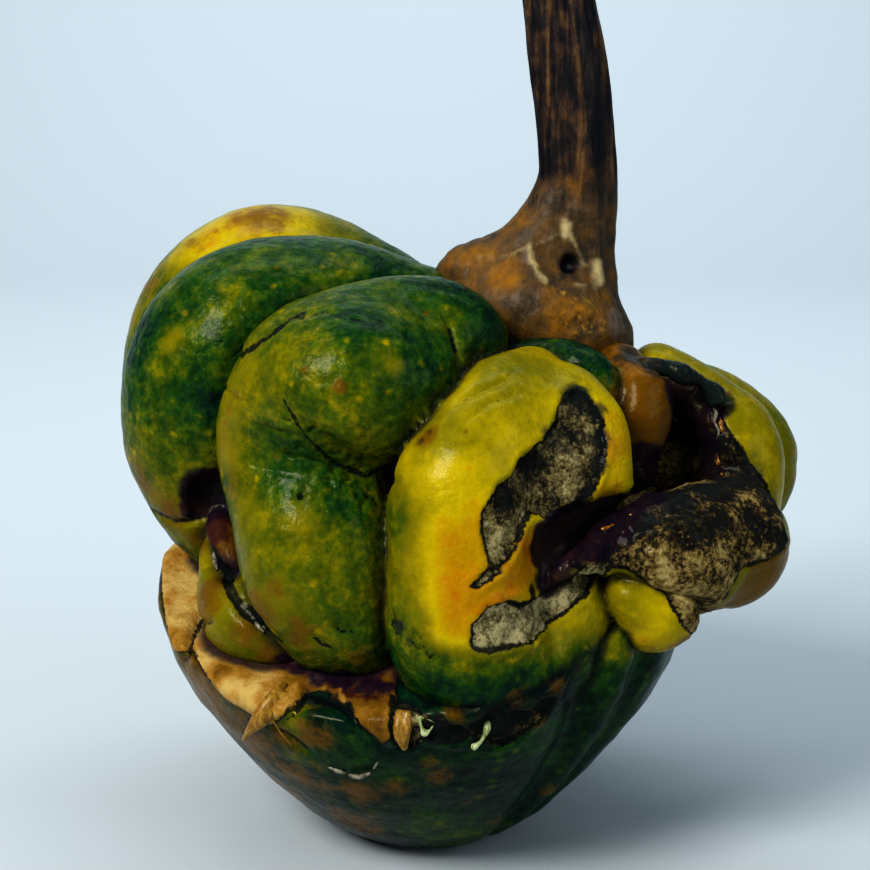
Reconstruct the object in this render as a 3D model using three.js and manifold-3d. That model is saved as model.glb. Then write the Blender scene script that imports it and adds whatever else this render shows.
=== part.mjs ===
// A small misshapen pumpkin, picked with its dried stem.
//
// The fruit grew as one piece: a ribbed lower cup, cracked open round its rim, and a crown of swollen
// folds that burst out of it and lean over to the right. The stem is a woody, five-ribbed stalk with a
// knobbly foot, a piece of its own that sits in a socket in the crown.
//
// Frame: millimetres, +Z up, origin at the middle of the flat patch that the fruit rests on.
// -Y is the side with the split yellow fold, and +X the side with the dark, corky snout.

import * as THREE from "three";
import { mergeVertices } from "three/addons/utils/BufferGeometryUtils.js";
import Module from "manifold-3d";

const wasm = await Module();
wasm.setup();

// ---------------------------------------------------------------- driving dimensions

const RIM_HEIGHT = 55.9; // of the cracked rim's tilted plane, on the axis
const RIM_SLOPE_X = 0.15; // the rim rises to the right
const RIM_SLOPE_Y = 0.38; // and falls to the front
const STEM_GAP = 0.3; // clearance between the stem's foot and its socket

const SKIN = new THREE.MeshStandardMaterial({ color: 0x4c6a16, roughness: 0.42, metalness: 0 });
const WOOD = new THREE.MeshStandardMaterial({ color: 0x5a3a20, roughness: 0.75, metalness: 0 });

const CUP_SHIFT = -0.8; // the cup's axis lies a little to the left of the resting patch's middle

// Meridian valleys between the cup's ribs: azimuth in degrees from +X, depth, and half width in degrees.
const CUP_VALLEYS = [
  { azimuth: -53, depth: 4, width: 6 },
  { azimuth: -38, depth: 2.5, width: 4 },
  { azimuth: -5, depth: 2.5, width: 7 },
  { azimuth: 35, depth: 3, width: 8 },
  { azimuth: 78, depth: 3, width: 8 },
  { azimuth: 122, depth: 2.5, width: 9 },
  { azimuth: 165, depth: 2, width: 8 },
];

// The cup's profile, radius and height, from the flat patch it rests on to where the crown closes over it.
const CUP_PROFILE = [
  [0, 0], [13, 0], [18.5, 2.2], [24, 6.5], [31.5, 14.5], [37.5, 22], [42.3, 29], [45.8, 36], [48, 43],
  [48.8, 50], [46.8, 60], [42, 69], [33, 77], [0, 82],
];

// Each fold of the crown is a chain of balls: X, Y, Z and radius of each, joined into one round sausage.
const FOLDS = {
  core_low: [[-5, 0, 48, 27], [3, 2, 54, 27]],
  core_high: [[4, 3, 60, 26], [8, 6, 66, 24]],
  core_front: [[11, -16, 72, 9], [11, -17, 62, 9]],
  left_back_arch: [[2, 26, 88.5, 7], [-16, 29, 91.5, 14.5], [-32, 27, 92, 18.7], [-41, 26, 79, 17.5], [-38, 24, 64, 14]],
  left_arch: [[12, 9, 91, 6], [-4, 7, 92.5, 11], [-18, 5, 93, 15.2], [-32.5, 1, 89.5, 17.8], [-38.5, 0, 77, 16.2],
    [-37.5, 0, 65, 13.5], [-36, 0, 58, 10]],
  neck_fold: [[-7.5, -8, 96, 4], [0, -10, 97.5, 5.5], [6.5, -12, 94, 6.2], [9, -12, 88, 5.7], [5.5, -12, 81, 5]],
  fist_top: [[1, -14, 88.5, 9], [-5, -20, 86.5, 12.7], [-13, -23, 87.5, 14.4], [-19, -21, 85, 12.7]],
  fist_rim: [[-23.5, -17, 88.5, 9.5], [-28.5, -16, 79.5, 9], [-28, -18, 68.5, 9]],
  fist_bottom: [[-25, -19, 72.5, 11], [-20.5, -25, 62, 13.2], [-18.5, -26, 53, 13.4],
    [-12.5, -25, 49.5, 12.5]],
  heel: [[-39.5, -5, 54.5, 5], [-35, -13, 48.5, 8.5], [-27.5, -20, 46, 9], [-17, -22, 45, 8]],
  front_fold: [[20, -9, 85, 6.5], [12.5, -21, 82, 10.8], [6, -30, 74, 12.4], [5, -33.5, 61, 12.4], [6, -34.5, 49, 13.2],
    [12, -33, 43.5, 12.5], [20, -30, 45, 11.5], [27, -26, 47, 9]],
  front_shoulder: [[15, -4, 86.5, 5], [22.5, -8, 87.5, 5.3], [29.5, -10, 84, 5], [33, -10, 78, 4.5]],
  scar_lip: [[24.5, -18, 85.5, 4.8], [29, -20, 80, 5], [30.5, -20.5, 74, 4.6], [29, -21, 67, 4.6]],
  scar_bed: [[20.5, -18, 79, 9.5], [22, -20, 70.5, 10], [17, -20, 56, 10]],
  amber_bulge: [[36, -3, 86, 5.3], [39, -9, 81.5, 8], [38.5, -9, 75, 8]],
  right_ridge: [[41, 8, 83.5, 5], [48.5, 4, 79.5, 5.5], [55, 0, 70.5, 8.3], [56, -4, 58, 8.7]],
  snout: [[31.5, -29, 60.5, 5.5], [40, -27, 60.5, 9.2], [50.5, -18, 58.5, 11.2]],
  nub: [[36, -27, 54, 6], [38.5, -28, 51, 7]],
  chin: [[44, -16, 53, 8], [54, -10, 50.5, 6.8]],
  right_back_fold: [[40, 22, 77.5, 6.3], [53, 20, 73, 8.3], [60, 18, 65, 9.2], [61, 16, 59, 8.2]],
  right_cheek: [[44, 12, 64, 12], [42, 10, 48, 11]],
  back_left: [[8, 24, 86, 8], [-12, 36, 83, 14], [-24, 40, 70, 16], [-24, 36, 54, 14]],
  back_middle: [[20, 22, 82, 8], [10, 36, 77, 13], [6, 42, 65, 15], [6, 38, 50, 13]],
  back_right: [[30, 18, 77, 8], [34, 30, 68, 13], [34, 32, 54, 12]],
};

// Clefts cut into the crown, as chains of balls: the split below the scar, and the two dark hollows.
const CLEFTS = {
  split: [[22, -38, 58, 3], [29, -36, 62, 4], [36, -36, 66, 3]],
  right_hollow: [[44, -12, 68, 6.5], [47, -6, 76, 5]],
  left_hollow: [[-38, -16, 61.5, 4.5], [-33, -18, 60, 4]],
};

// The stem's centreline, from its foot to the cut end, with its radius.
const STEM = [
  [27, 6, 84, 9.5], [26.5, 7.5, 91, 10], [26, 8.5, 98, 9], [25.7, 9.5, 106, 7.7], [25.8, 10, 115, 7], [25.5, 10, 126, 6.8],
  [24.2, 10, 138, 6.8], [22.3, 10, 150, 7], [20.5, 10, 160, 7.6], [20, 10, 166, 8.4],
];
const STEM_RIBS = 5;
const STEM_RIB_DEPTH = 0.09; // as a share of the radius
// The stem's knobbly foot: a buttress that runs out over the left arch, and a skirt round the front.
const FOOT = {
  buttress: [[3, 8, 98.5, 2.5], [7, 8, 100.5, 5.5], [13, 8.5, 101.5, 8.5], [19.5, 9, 102.5, 10.5], [23, 10, 111, 8]],
  skirt: [[8, 4, 97, 4], [15, 3.5, 97, 8.5], [24, 3.5, 94.5, 10.5], [30, 6, 91, 8.5]],
};

// ---------------------------------------------------------------- making solids

// A three.js geometry as a manifold-3d solid.
function solidOf(geometry) {
  const bare = geometry.clone();
  bare.deleteAttribute("normal");
  bare.deleteAttribute("uv");
  const merged = mergeVertices(bare, 1e-4);
  return new wasm.Manifold(new wasm.Mesh({
    numProp: 3,
    vertProperties: merged.attributes.position.array,
    triVerts: new Uint32Array(merged.index.array),
  }));
}

// A manifold-3d solid as a three.js geometry.
function geometryOf(solid) {
  const mesh = solid.getMesh();
  return new THREE.BufferGeometry()
    .setAttribute("position", new THREE.BufferAttribute(new Float32Array(mesh.vertProperties), 3))
    .setIndex(new THREE.BufferAttribute(new Uint32Array(mesh.triVerts), 1));
}

// A sphere geometry stretched over a chain of balls, with round ends. ribs and ribDepth flute its sides,
// and grow makes it that much fatter.
function sausage(balls, { around = 16, cap = 3, step = 7, ribs = 0, ribDepth = 0, grow = 0 } = {}) {
  const centres = new THREE.CatmullRomCurve3(balls.map(([x, y, z]) => new THREE.Vector3(x, y, z)));
  const radii = new THREE.SplineCurve(balls.map((ball, i) => new THREE.Vector2(i / (balls.length - 1), ball[3])));
  const middle = Math.max(2, Math.round(centres.getLength() / step));
  const frames = centres.computeFrenetFrames(middle);
  const rows = middle + 2 * cap;
  const sphere = new THREE.SphereGeometry(1, around, rows);
  const position = sphere.attributes.position;
  const point = new THREE.Vector3();
  for (let row = 0; row <= rows; row++) {
    const along = THREE.MathUtils.clamp(row - cap, 0, middle);
    const overhang = row - cap - along; // rows past the chain's end, which make the round cap
    const bend = (overhang / cap) * Math.PI / 2;
    // CatmullRomCurve3.getUtoTmapping keeps the radius in step with the arc length along the centreline.
    const t = centres.getUtoTmapping(along / middle);
    const radius = radii.getPoint(t).y + grow;
    const centre = centres.getPoint(t);
    const [tangent, normal, binormal] = [frames.tangents[along], frames.normals[along], frames.binormals[along]];
    for (let column = 0; column <= around; column++) {
      const angle = ((column % around) / around) * 2 * Math.PI;
      const flute = 1 + ribDepth * Math.cos(ribs * angle);
      const reach = row === 0 || row === rows ? 0 : radius * Math.cos(bend) * flute;
      point.copy(centre)
        .addScaledVector(tangent, radius * Math.sin(bend))
        .addScaledVector(normal, -reach * Math.cos(angle))
        .addScaledVector(binormal, reach * Math.sin(angle));
      position.setXYZ(row * (around + 1) + column, point.x, point.y, point.z);
    }
  }
  return solidOf(sphere);
}

// A slab far bigger than the fruit, whose lower face is the tilted plane through the point (0, 0, height).
function everythingAbove(height, slopeX = 0, slopeY = 0) {
  const size = 400;
  const slab = new THREE.BoxGeometry(size, size, size).translate(0, 0, size / 2);
  const up = new THREE.Vector3(-slopeX, -slopeY, 1).normalize();
  slab.applyQuaternion(new THREE.Quaternion().setFromUnitVectors(new THREE.Vector3(0, 0, 1), up));
  return solidOf(slab.translate(0, 0, height));
}

// ---------------------------------------------------------------- the fruit

// The cup is turned from its profile, with valleys between its ribs, and cut at its rim.
function lowerCup() {
  const profile = CUP_PROFILE.map(([radius, height]) => new THREE.Vector2(radius, height));
  const turned = new THREE.LatheGeometry(profile, 60).rotateX(Math.PI / 2);
  const widest = Math.max(...CUP_PROFILE.map(([radius]) => radius));
  const position = turned.attributes.position;
  for (let i = 0; i < position.count; i++) {
    const x = position.getX(i);
    const y = position.getY(i);
    const azimuth = THREE.MathUtils.radToDeg(Math.atan2(y, x));
    let pinch = 0;
    for (const valley of CUP_VALLEYS) {
      const off = ((azimuth - valley.azimuth + 540) % 360) - 180;
      pinch += (valley.depth / widest) * Math.exp(-((off / valley.width) ** 2));
    }
    position.setXY(i, x * (1 - pinch), y * (1 - pinch));
  }
  turned.translate(CUP_SHIFT, 0, 0);
  return solidOf(turned).subtract(everythingAbove(RIM_HEIGHT, RIM_SLOPE_X, RIM_SLOPE_Y));
}

function fruit() {
  let body = lowerCup();
  for (const balls of Object.values(FOLDS)) body = body.add(sausage(balls));
  for (const balls of Object.values(CLEFTS)) body = body.subtract(sausage(balls, { around: 12, cap: 3, step: 4 }));
  const floor = solidOf(new THREE.BoxGeometry(400, 400, 100).translate(0, 0, -50));
  return body.subtract(floor).subtract(stalk(STEM_GAP));
}

// ---------------------------------------------------------------- the stem

// grow makes it that much fatter, for the socket it sits in.
function stalk(grow) {
  const cutEnd = everythingAbove(STEM.at(-1)[2]);
  let body = sausage(STEM, { around: 30, ribs: STEM_RIBS, ribDepth: STEM_RIB_DEPTH, step: 6, grow }).subtract(cutEnd);
  for (const balls of Object.values(FOOT)) body = body.add(sausage(balls, { around: 14, step: 4, grow }));
  return body;
}

// ---------------------------------------------------------------- the object

const pumpkin = new THREE.Group();
for (const [name, solid, material] of [["fruit", fruit(), SKIN], ["stem", stalk(0), WOOD]]) {
  const mesh = new THREE.Mesh(geometryOf(solid), material);
  mesh.name = name;
  pumpkin.add(mesh);
}

export default pumpkin;
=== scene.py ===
"""The looks of a small misshapen pumpkin and its dried stem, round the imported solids.

Every piece is a closed mesh worked out here: folds, cup and stem from smooth distance fields, then
scars, cracks, wrinkles and ribs as relief along the skin. Each vertex also carries a few measures, such
as how far inside a scar it lies, and the materials draw their colours and edges from those. Lengths are
in millimetres until a mesh is made, in the part's own frame: X to the right, Y to the back, Z up.
"""
import itertools
import math

import bpy
import numpy as np
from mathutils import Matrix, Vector


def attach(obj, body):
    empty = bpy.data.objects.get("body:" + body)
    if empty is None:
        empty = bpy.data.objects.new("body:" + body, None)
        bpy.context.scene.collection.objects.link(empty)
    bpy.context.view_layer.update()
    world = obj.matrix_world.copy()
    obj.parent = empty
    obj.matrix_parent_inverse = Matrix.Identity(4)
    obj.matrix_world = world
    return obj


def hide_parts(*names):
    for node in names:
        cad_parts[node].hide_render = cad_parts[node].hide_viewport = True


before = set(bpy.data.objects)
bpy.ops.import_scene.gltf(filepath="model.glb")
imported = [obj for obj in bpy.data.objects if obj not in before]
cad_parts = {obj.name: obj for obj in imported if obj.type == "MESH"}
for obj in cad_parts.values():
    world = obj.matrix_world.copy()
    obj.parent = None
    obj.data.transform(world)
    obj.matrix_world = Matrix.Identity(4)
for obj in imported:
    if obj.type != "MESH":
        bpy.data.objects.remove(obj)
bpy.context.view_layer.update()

MM = 0.001  # metres in a millimetre
GRID = 0.55  # step of the fruit's fields
STEM_GRID = 0.45

# ---------------------------------------------------------------- the shapes, as chains of balls

# The core, and the folds pressed together round it. Each ball is given as X, Y, Z and radius, and a chain
# of them is joined into a round sausage. The chains of one fold melt into each other, and two folds meet
# in a sharp crease.
CORE = [
    [[-5, 0, 48, 27], [3, 2, 54, 27]],
    [[4, 3, 60, 26], [8, 6, 66, 24]],
    [[11, -15, 72, 9], [11, -16, 62, 9]],
    [[35, 0, 56, 9], [45, -3, 55, 6.5]],
]
FOLDS = {
    "back_arch": [
        [[2, 26, 88.5, 7], [-16, 29, 91.5, 14.5], [-32, 27, 92, 18.7], [-41, 26, 79, 17.5],
         [-38, 24, 64, 14]],
    ],
    "left_arch": [
        [[12, 9, 91, 6], [-4, 7, 92.5, 11], [-18, 5, 93, 15.2], [-32.5, 1, 89.5, 17.8], [-38.5, 0, 77, 16.2],
         [-37.5, 0, 65, 13.5], [-36, 0, 58, 10]],
    ],
    "fist": [
        [[-19, -17, 91, 10.5], [-9, -14.5, 94, 10], [0, -13, 95.5, 8.7], [6, -13, 93.5, 7.4],
         [8, -13, 87, 6]],
        [[1, -14, 88.5, 9], [-5, -20, 86.5, 12.7], [-13, -23, 87.5, 14.4], [-19, -21, 85, 12.7]],
        [[-22.5, -20, 88.5, 9.5], [-27, -19.5, 79.5, 9], [-25, -20.5, 70, 8.3]],
        [[-23, -19, 72.5, 10.8], [-19.3, -25, 62, 13.2], [-17.5, -26, 53.5, 13.2], [-12.5, -25, 49.5, 12.5]],
        [[-15, -24, 68, 9], [-12.5, -26, 59, 11], [-12, -26, 51, 11.5]],
    ],
    "heel": [
        [[-38, -11, 58, 2.2], [-35.5, -15, 52, 4.8], [-31.5, -20.5, 47.5, 8], [-25, -23, 46.5, 8.8],
         [-17, -23, 45, 8]],
    ],
    "wedge": [
        [[-36.5, -12, 61, 3.2], [-35.3, -15, 58, 3.5], [-33, -19, 54.5, 3.6]],
    ],
    "front": [
        [[20, -9, 85, 6.5], [12.5, -21, 82, 10.8], [6, -30, 74, 12.4], [5, -33.5, 61, 12.4],
         [6, -34.5, 49, 13.2], [11.5, -33, 43.5, 11.8], [17.5, -31, 43.5, 10], [23, -28, 50, 8.7]],
        [[24, -20, 86, 4.3], [28.5, -23.5, 80.5, 4.6], [29.7, -25.5, 74, 4.4], [28.5, -27, 67, 4.4]],
        [[19.5, -21, 80, 9.5], [20, -25.5, 71, 10], [17.5, -27, 60, 10]],
    ],
    "shoulder": [
        [[15, -4, 86.5, 5], [22.5, -8, 87.5, 5.3], [29.5, -10, 84, 5], [33, -10, 78, 4.5]],
    ],
    "bulge": [
        [[33.5, -3, 86.5, 4.5], [35.5, -8.5, 82, 6.6], [35, -10, 77, 6.8], [33.5, -11, 72, 6]],
    ],
    "crust": [
        [[34.5, -4.5, 88.8, 1.6], [38, -7.2, 87.4, 2.5], [40.8, -6.8, 87.2, 1.5], [43.6, -7, 86, 2.2],
         [46.2, -5.4, 85, 1.2], [48.6, -5, 83.2, 1.6], [50.2, -4.6, 81.6, 2.2]],
    ],
    "pea": [
        [[42, -10, 70, 3], [44, -9, 70.5, 2.6]],
    ],
    "snout": [
        [[41, 8, 83.5, 5], [48.5, 4, 79.5, 5.5], [55, 0, 70.5, 8.3], [54.7, -4, 58.3, 7.5]],
        [[19, -36.5, 58.5, 1.5], [25, -34, 60.5, 3], [31.5, -29.5, 61.5, 5.5], [40, -27, 60.5, 9.2],
         [50.5, -18, 58.5, 11.2]],
    ],
    "chin": [
        [[44, -16, 53, 8], [53.2, -10, 52, 6.5]],
    ],
    "nub": [
        [[34, -30, 54, 6], [37.5, -29.5, 51, 7.3]],
    ],
    "right_back": [
        [[40, 22, 77.5, 6.3], [53, 20, 73, 8.3], [60, 18, 65, 9.2], [60.2, 16, 59.3, 7.6]],
    ],
    "cheek": [
        [[44, 12, 64, 12], [42, 10, 48, 11]],
    ],
    "back_left": [
        [[8, 24, 86, 8], [-12, 36, 83, 14], [-24, 40, 70, 16], [-24, 36, 54, 14]],
    ],
    "back_middle": [
        [[20, 22, 82, 8], [10, 36, 77, 13], [6, 42, 65, 15], [6, 38, 50, 13]],
    ],
    "back_right": [
        [[30, 18, 77, 8], [34, 30, 68, 13], [34, 32, 54, 12]],
    ],
}
MELT = 3.5  # how far the chains of one fold blend
CREASE_DEPTH = 1.5  # of the groove where two folds meet
CREASE_WIDTH = 1.1
FOLD_BLEND = 0.5  # how far the ripeness of one fold runs into the next

# Hollows cut into one fold each.
HOLLOW_ROUNDING = 1
HOLLOWS = {
    "front": [
        [[13, -44.5, 59, 0.8], [16, -42, 60.8, 1.6], [19, -39.6, 62.8, 3.6], [22, -37.4, 64.2, 4.8],
         [26, -34.5, 65.2, 5], [31, -31, 66.5, 4.8], [37, -27, 67, 3.5]],
    ],
    "left_arch": [
        [[-39.8, -14.5, 63.8, 3.2], [-37.5, -15, 66, 4.2], [-34, -17, 67.3, 4.4], [-31, -19, 67.5, 4]],
    ],
}
# Hollows cut into the finished crown.
PIT_ROUNDING = 1.5
PITS = [
    [[44.5, -10, 68, 5.3], [45.2, -8, 76, 5], [44.5, -6, 80.5, 3.6]],
    [[-23, -35.3, 88.5, 0.6], [-21, -36, 86, 1], [-19, -36, 83, 1.5], [-16, -35.2, 80, 2],
     [-13.5, -33.8, 77, 2.6], [-10, -32.5, 75, 2.9], [-6, -31, 74.5, 2.6]],
]

# The lower cup: its profile as radius and height, and the valleys between its ribs as azimuth in degrees,
# depth, and half width in degrees.
CUP_CENTRE_X = -0.8
CUP_PROFILE = [
    (13, 0), (18.5, 2.2), (24, 6.5), (31.5, 14.5), (37.5, 22), (42.3, 29), (45.8, 36), (48, 43), (48.8, 50),
    (46.8, 60), (42, 69), (33, 77),
]
CUP_VALLEYS = [(-53, 4, 6), (-38, 2.5, 4), (-5, 2.5, 7), (35, 3, 8), (78, 3, 8), (122, 2.5, 9), (165, 2, 8)]
RIM = (55.9, 0.15, 0.38)  # the torn rim's plane: its height on the axis, and its slopes along X and Y
RIM_ROUNDING = 1.6

# The stem's centreline, and the two lobes of its foot.
STEM = [
    [26.5, 6, 84, 8.5], [26.2, 7.5, 91, 8.4], [26.1, 8.5, 98, 7.7], [26.3, 9.5, 106, 7.1],
    [26.5, 10, 115, 7],
    [26, 10, 124, 6.8], [24.2, 10, 138, 6.7], [22.7, 10, 147, 6.2], [21.8, 10, 153, 6], [20.8, 10, 160, 6.4],
    [20, 10, 166, 7.6],
]
FOOT = [
    [[3, 8, 100, 3.2], [7, 8, 101.6, 5.6], [13, 8.5, 102, 7.2], [19, 9, 105.2, 7.6], [23.2, 10, 111.5, 6.9]],
    [[8, 4, 97, 4], [15, 3.5, 96.5, 8], [23.5, 3.5, 93, 9.3], [28.8, 5, 89.5, 8]],
]
STEM_MELT = 3  # how far the lobes of the foot blend into the stem
STEM_TOP = 166  # where it is cut off
STEM_TOP_ROUNDING = 1
STEM_RIBS = 5
STEM_RIB_HEIGHT = 0.75
STEM_INSET = 0.5  # how far the stem's skin is drawn in, to leave room for its relief

# ---------------------------------------------------------------- scars, wounds and cracks

# Places where the skin is gone. Each has the part that it is on, the Y near which it ends at the back, its
# tone (cork goes from grey at 0 to tan at 1, and flesh from cream to red-brown), how far it stands out of
# the skin, and its outline seen from the front, as X and Z.
CORK = {
    "tall_scar": ("crown", -20, 0.5, -0.7, [
        (22, 87.2), (24, 88), (25.6, 87.2), (27.5, 85), (28.8, 82), (29.1, 78.7), (28, 74.4), (26.6, 71.4),
        (24.6, 69.4), (22.5, 68), (19.3, 68.7), (16.8, 69.6), (15.3, 68.2), (14.3, 66.2), (12.8, 63.8),
        (11.2, 62.8), (9.6, 63.5), (8.8, 66.3), (8.2, 69), (8.4, 71.5), (9.3, 73.3), (11, 75.8),
        (13.2, 76.8), (14.4, 78.8), (16.3, 79.9), (18.4, 81), (20.4, 83.6), (20.9, 85.2),
    ]),
    "scar_tail": ("crown", -20, 0.4, -0.4, [(11.5, 62.5), (7.5, 60), (6.5, 60.5), (9.5, 63.5)]),
    "lower_strip": ("crown", -20, 0.4, -0.5, [
        (6.4, 51.8), (6.9, 54.5), (9.2, 57), (12.5, 57.6), (15, 56.6), (17.5, 55.8), (21.3, 57.8), (24, 60),
        (26.5, 61.8), (30.5, 64.3), (32.2, 63), (29.5, 60), (27.8, 57.4), (26, 55.2), (23.6, 53.4),
        (21.4, 52.2), (18.6, 50.8), (16.2, 50), (12.5, 50), (9.4, 49.8), (7.4, 50.2),
    ]),
    "snout": ("crown", 4, 0.78, 0.5, [
        (22, 60.5), (27, 66), (31.5, 70.5), (38, 72), (46, 71.5), (50, 75), (50, 80.5), (50.9, 80.5),
        (51.8, 77), (55, 72.5), (59, 66.5), (61, 60.5), (57, 59), (51.5, 58.5), (49.5, 54), (47.5, 47),
        (43.5, 47.5), (41, 50.5), (39, 54), (36, 57.5), (31.5, 60),
    ]),
    "black_left": ("crown cup", -20, 0.5, -0.6, [
        (-6, 39.4), (-2, 39), (0.2, 38.1), (2.2, 38.5), (3.7, 37.3), (5.2, 37.2), (6.6, 35.6), (6.1, 33.7),
        (4.1, 33.2), (1.8, 33.8), (-0.6, 34.2), (-2.6, 32.6), (-4.4, 32.4), (-5.8, 34.2), (-6.3, 36.8),
    ]),
    "black_right": ("crown cup", -20, 0.5, -0.6, [
        (6.4, 37.4), (8.1, 38), (9.5, 39.6), (11.3, 39.9), (12.5, 38.6), (13.8, 39.3), (15, 38.5),
        (16.2, 38), (17.4, 39.2), (19.2, 40.4), (20.6, 40), (19.6, 37.8), (18.2, 36), (16.1, 34.4),
        (14.5, 32.8), (12, 31.6), (9.7, 31.8), (7.8, 33), (7.2, 34.6), (6.2, 36),
    ]),
}
FLESH = {
    "ledge": ("cup", 12, 0.12, 0.3, [
        (-60, 50.5), (-49, 48.5), (-46.5, 43.5), (-44, 39.5), (-41, 41.5), (-38, 39), (-34, 36), (-30, 35),
        (-26, 33.5), (-23.3, 36.4), (-20.5, 39), (-16.5, 39.3), (-13.5, 38.2), (-12.5, 45), (-30, 47),
        (-40, 55), (-50, 60),
    ]),
    "front_patch": ("cup", -20, 0.62, 0.2, [
        (-19, 44), (-19, 40.5), (-16, 38.8), (-12.8, 38.4), (-11, 36.4), (-8.6, 34.4), (-7, 32),
        (-7.2, 33.8), (-5.6, 35.2), (-6.4, 37), (-4.6, 38.6), (-5.4, 40.2), (-4, 44),
    ]),
}
RAGGED_BACK = (3.5, 5)  # how far their back ends wander, and the size of the wander's lumps
# Cracks and creases in the skin: half width, depth and line, as X and Z. Each is drawn black along its line,
# as painted shade down in it; a half width of 0 or less is a soft fold that hardly darkens.
CRACKS = {
    "fist_crease": (0.3, 0.9, [(-23.5, 88), (-21.8, 85), (-19.8, 81.6), (-15, 76.4), (-10, 73.8), (-5, 75)]),
    "fist_fold_1": (-0.05, 0.5, [(-31, 83.5), (-25, 82), (-19, 82.5)]),
    "fist_fold_2": (-0.05, 0.6, [(-26, 78), (-21, 77.5), (-15, 76.5)]),
    "fist_fold_3": (-0.05, 0.4, [(-30, 76), (-27, 75.5), (-22, 75)]),
    "arch_edge": (0.3, 0.3, [(-34, 89.5), (-33, 91.5), (-27.6, 95.6), (-22.5, 99.4), (-20, 100.4)]),
    "heel_split": (1.0, 0.9, [
        (-37.5, 58.5), (-35.5, 55.5), (-33, 52.5), (-30, 49.8), (-27, 47.8), (-24.5, 46.8),
    ]),
    "neck_crease": (0.15, 1.1, [(2.5, 99), (3.8, 96.8), (4.8, 94), (5.2, 90)]),
    "neck_fold": (0.05, 0.5, [(-21, 99.5), (-17, 101), (-13, 100.5), (-10, 99.8)]),
    "arch_tip": (0.35, 0.9, [(-50, 61), (-45, 60), (-41.5, 60.8), (-38.5, 62)]),
    "front_a": (0.15, 0.4, [(-6.5, 54.5), (-5.4, 53.4), (-6, 52.2), (-4.8, 50.8), (-4, 51.2)]),
    "front_b": (0.25, 0.5, [(-3, 51.5), (-2, 49.6), (-0.9, 50.2), (0, 48.6), (1.2, 49.4), (2.3, 48.6)]),
    "front_c": (0.1, 0.4, [(-2.6, 52.6), (-1.4, 51.6), (-0.2, 51.8)]),
    "fist_low_a": (0.55, 0.5, [(-19, 49), (-17.6, 47.8), (-15.5, 47.2)]),
    "fist_low_b": (0.35, 0.4, [(-15.4, 51.4), (-14.2, 50.2), (-12.8, 50.6), (-12, 49.8)]),
    "pit": (0.8, 0.9, [(-21.2, 72.3), (-20.6, 71.5)]),
    "top_fold_1": (-0.1, 0.5, [(4, 87), (7, 88.5), (12, 90), (14.5, 91)]),
    "top_fold_2": (-0.12, 0.4, [(6, 85), (10, 87.5), (16, 88.5)]),
    "arch_fold": (0.0, 0.5, [(-35.5, 87), (-32, 86.5), (-29, 86.5)]),
    "ledge_split": (0.35, 1.2, [(-37, 47.5), (-40, 44.5), (-41, 42), (-42.5, 38)]),
    "skin_tear_1": (0.35, 0.8, [(-24, 34.5), (-20, 38.8), (-16.5, 38.5), (-13, 38), (-9, 34), (-6.5, 31.5)]),
    "skin_tear_2": (0.3, 0.7, [(-6.5, 31.5), (-3.5, 33), (-4.5, 38)]),
    "skin_tear_3": (0.25, 0.5, [(-26, 33.5), (-22.5, 31.5), (-19, 29)]),
    "cup_crack": (0.3, 0.7, [(5.5, 34), (8, 33), (12, 31.6), (15.5, 33)]),
}

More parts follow.
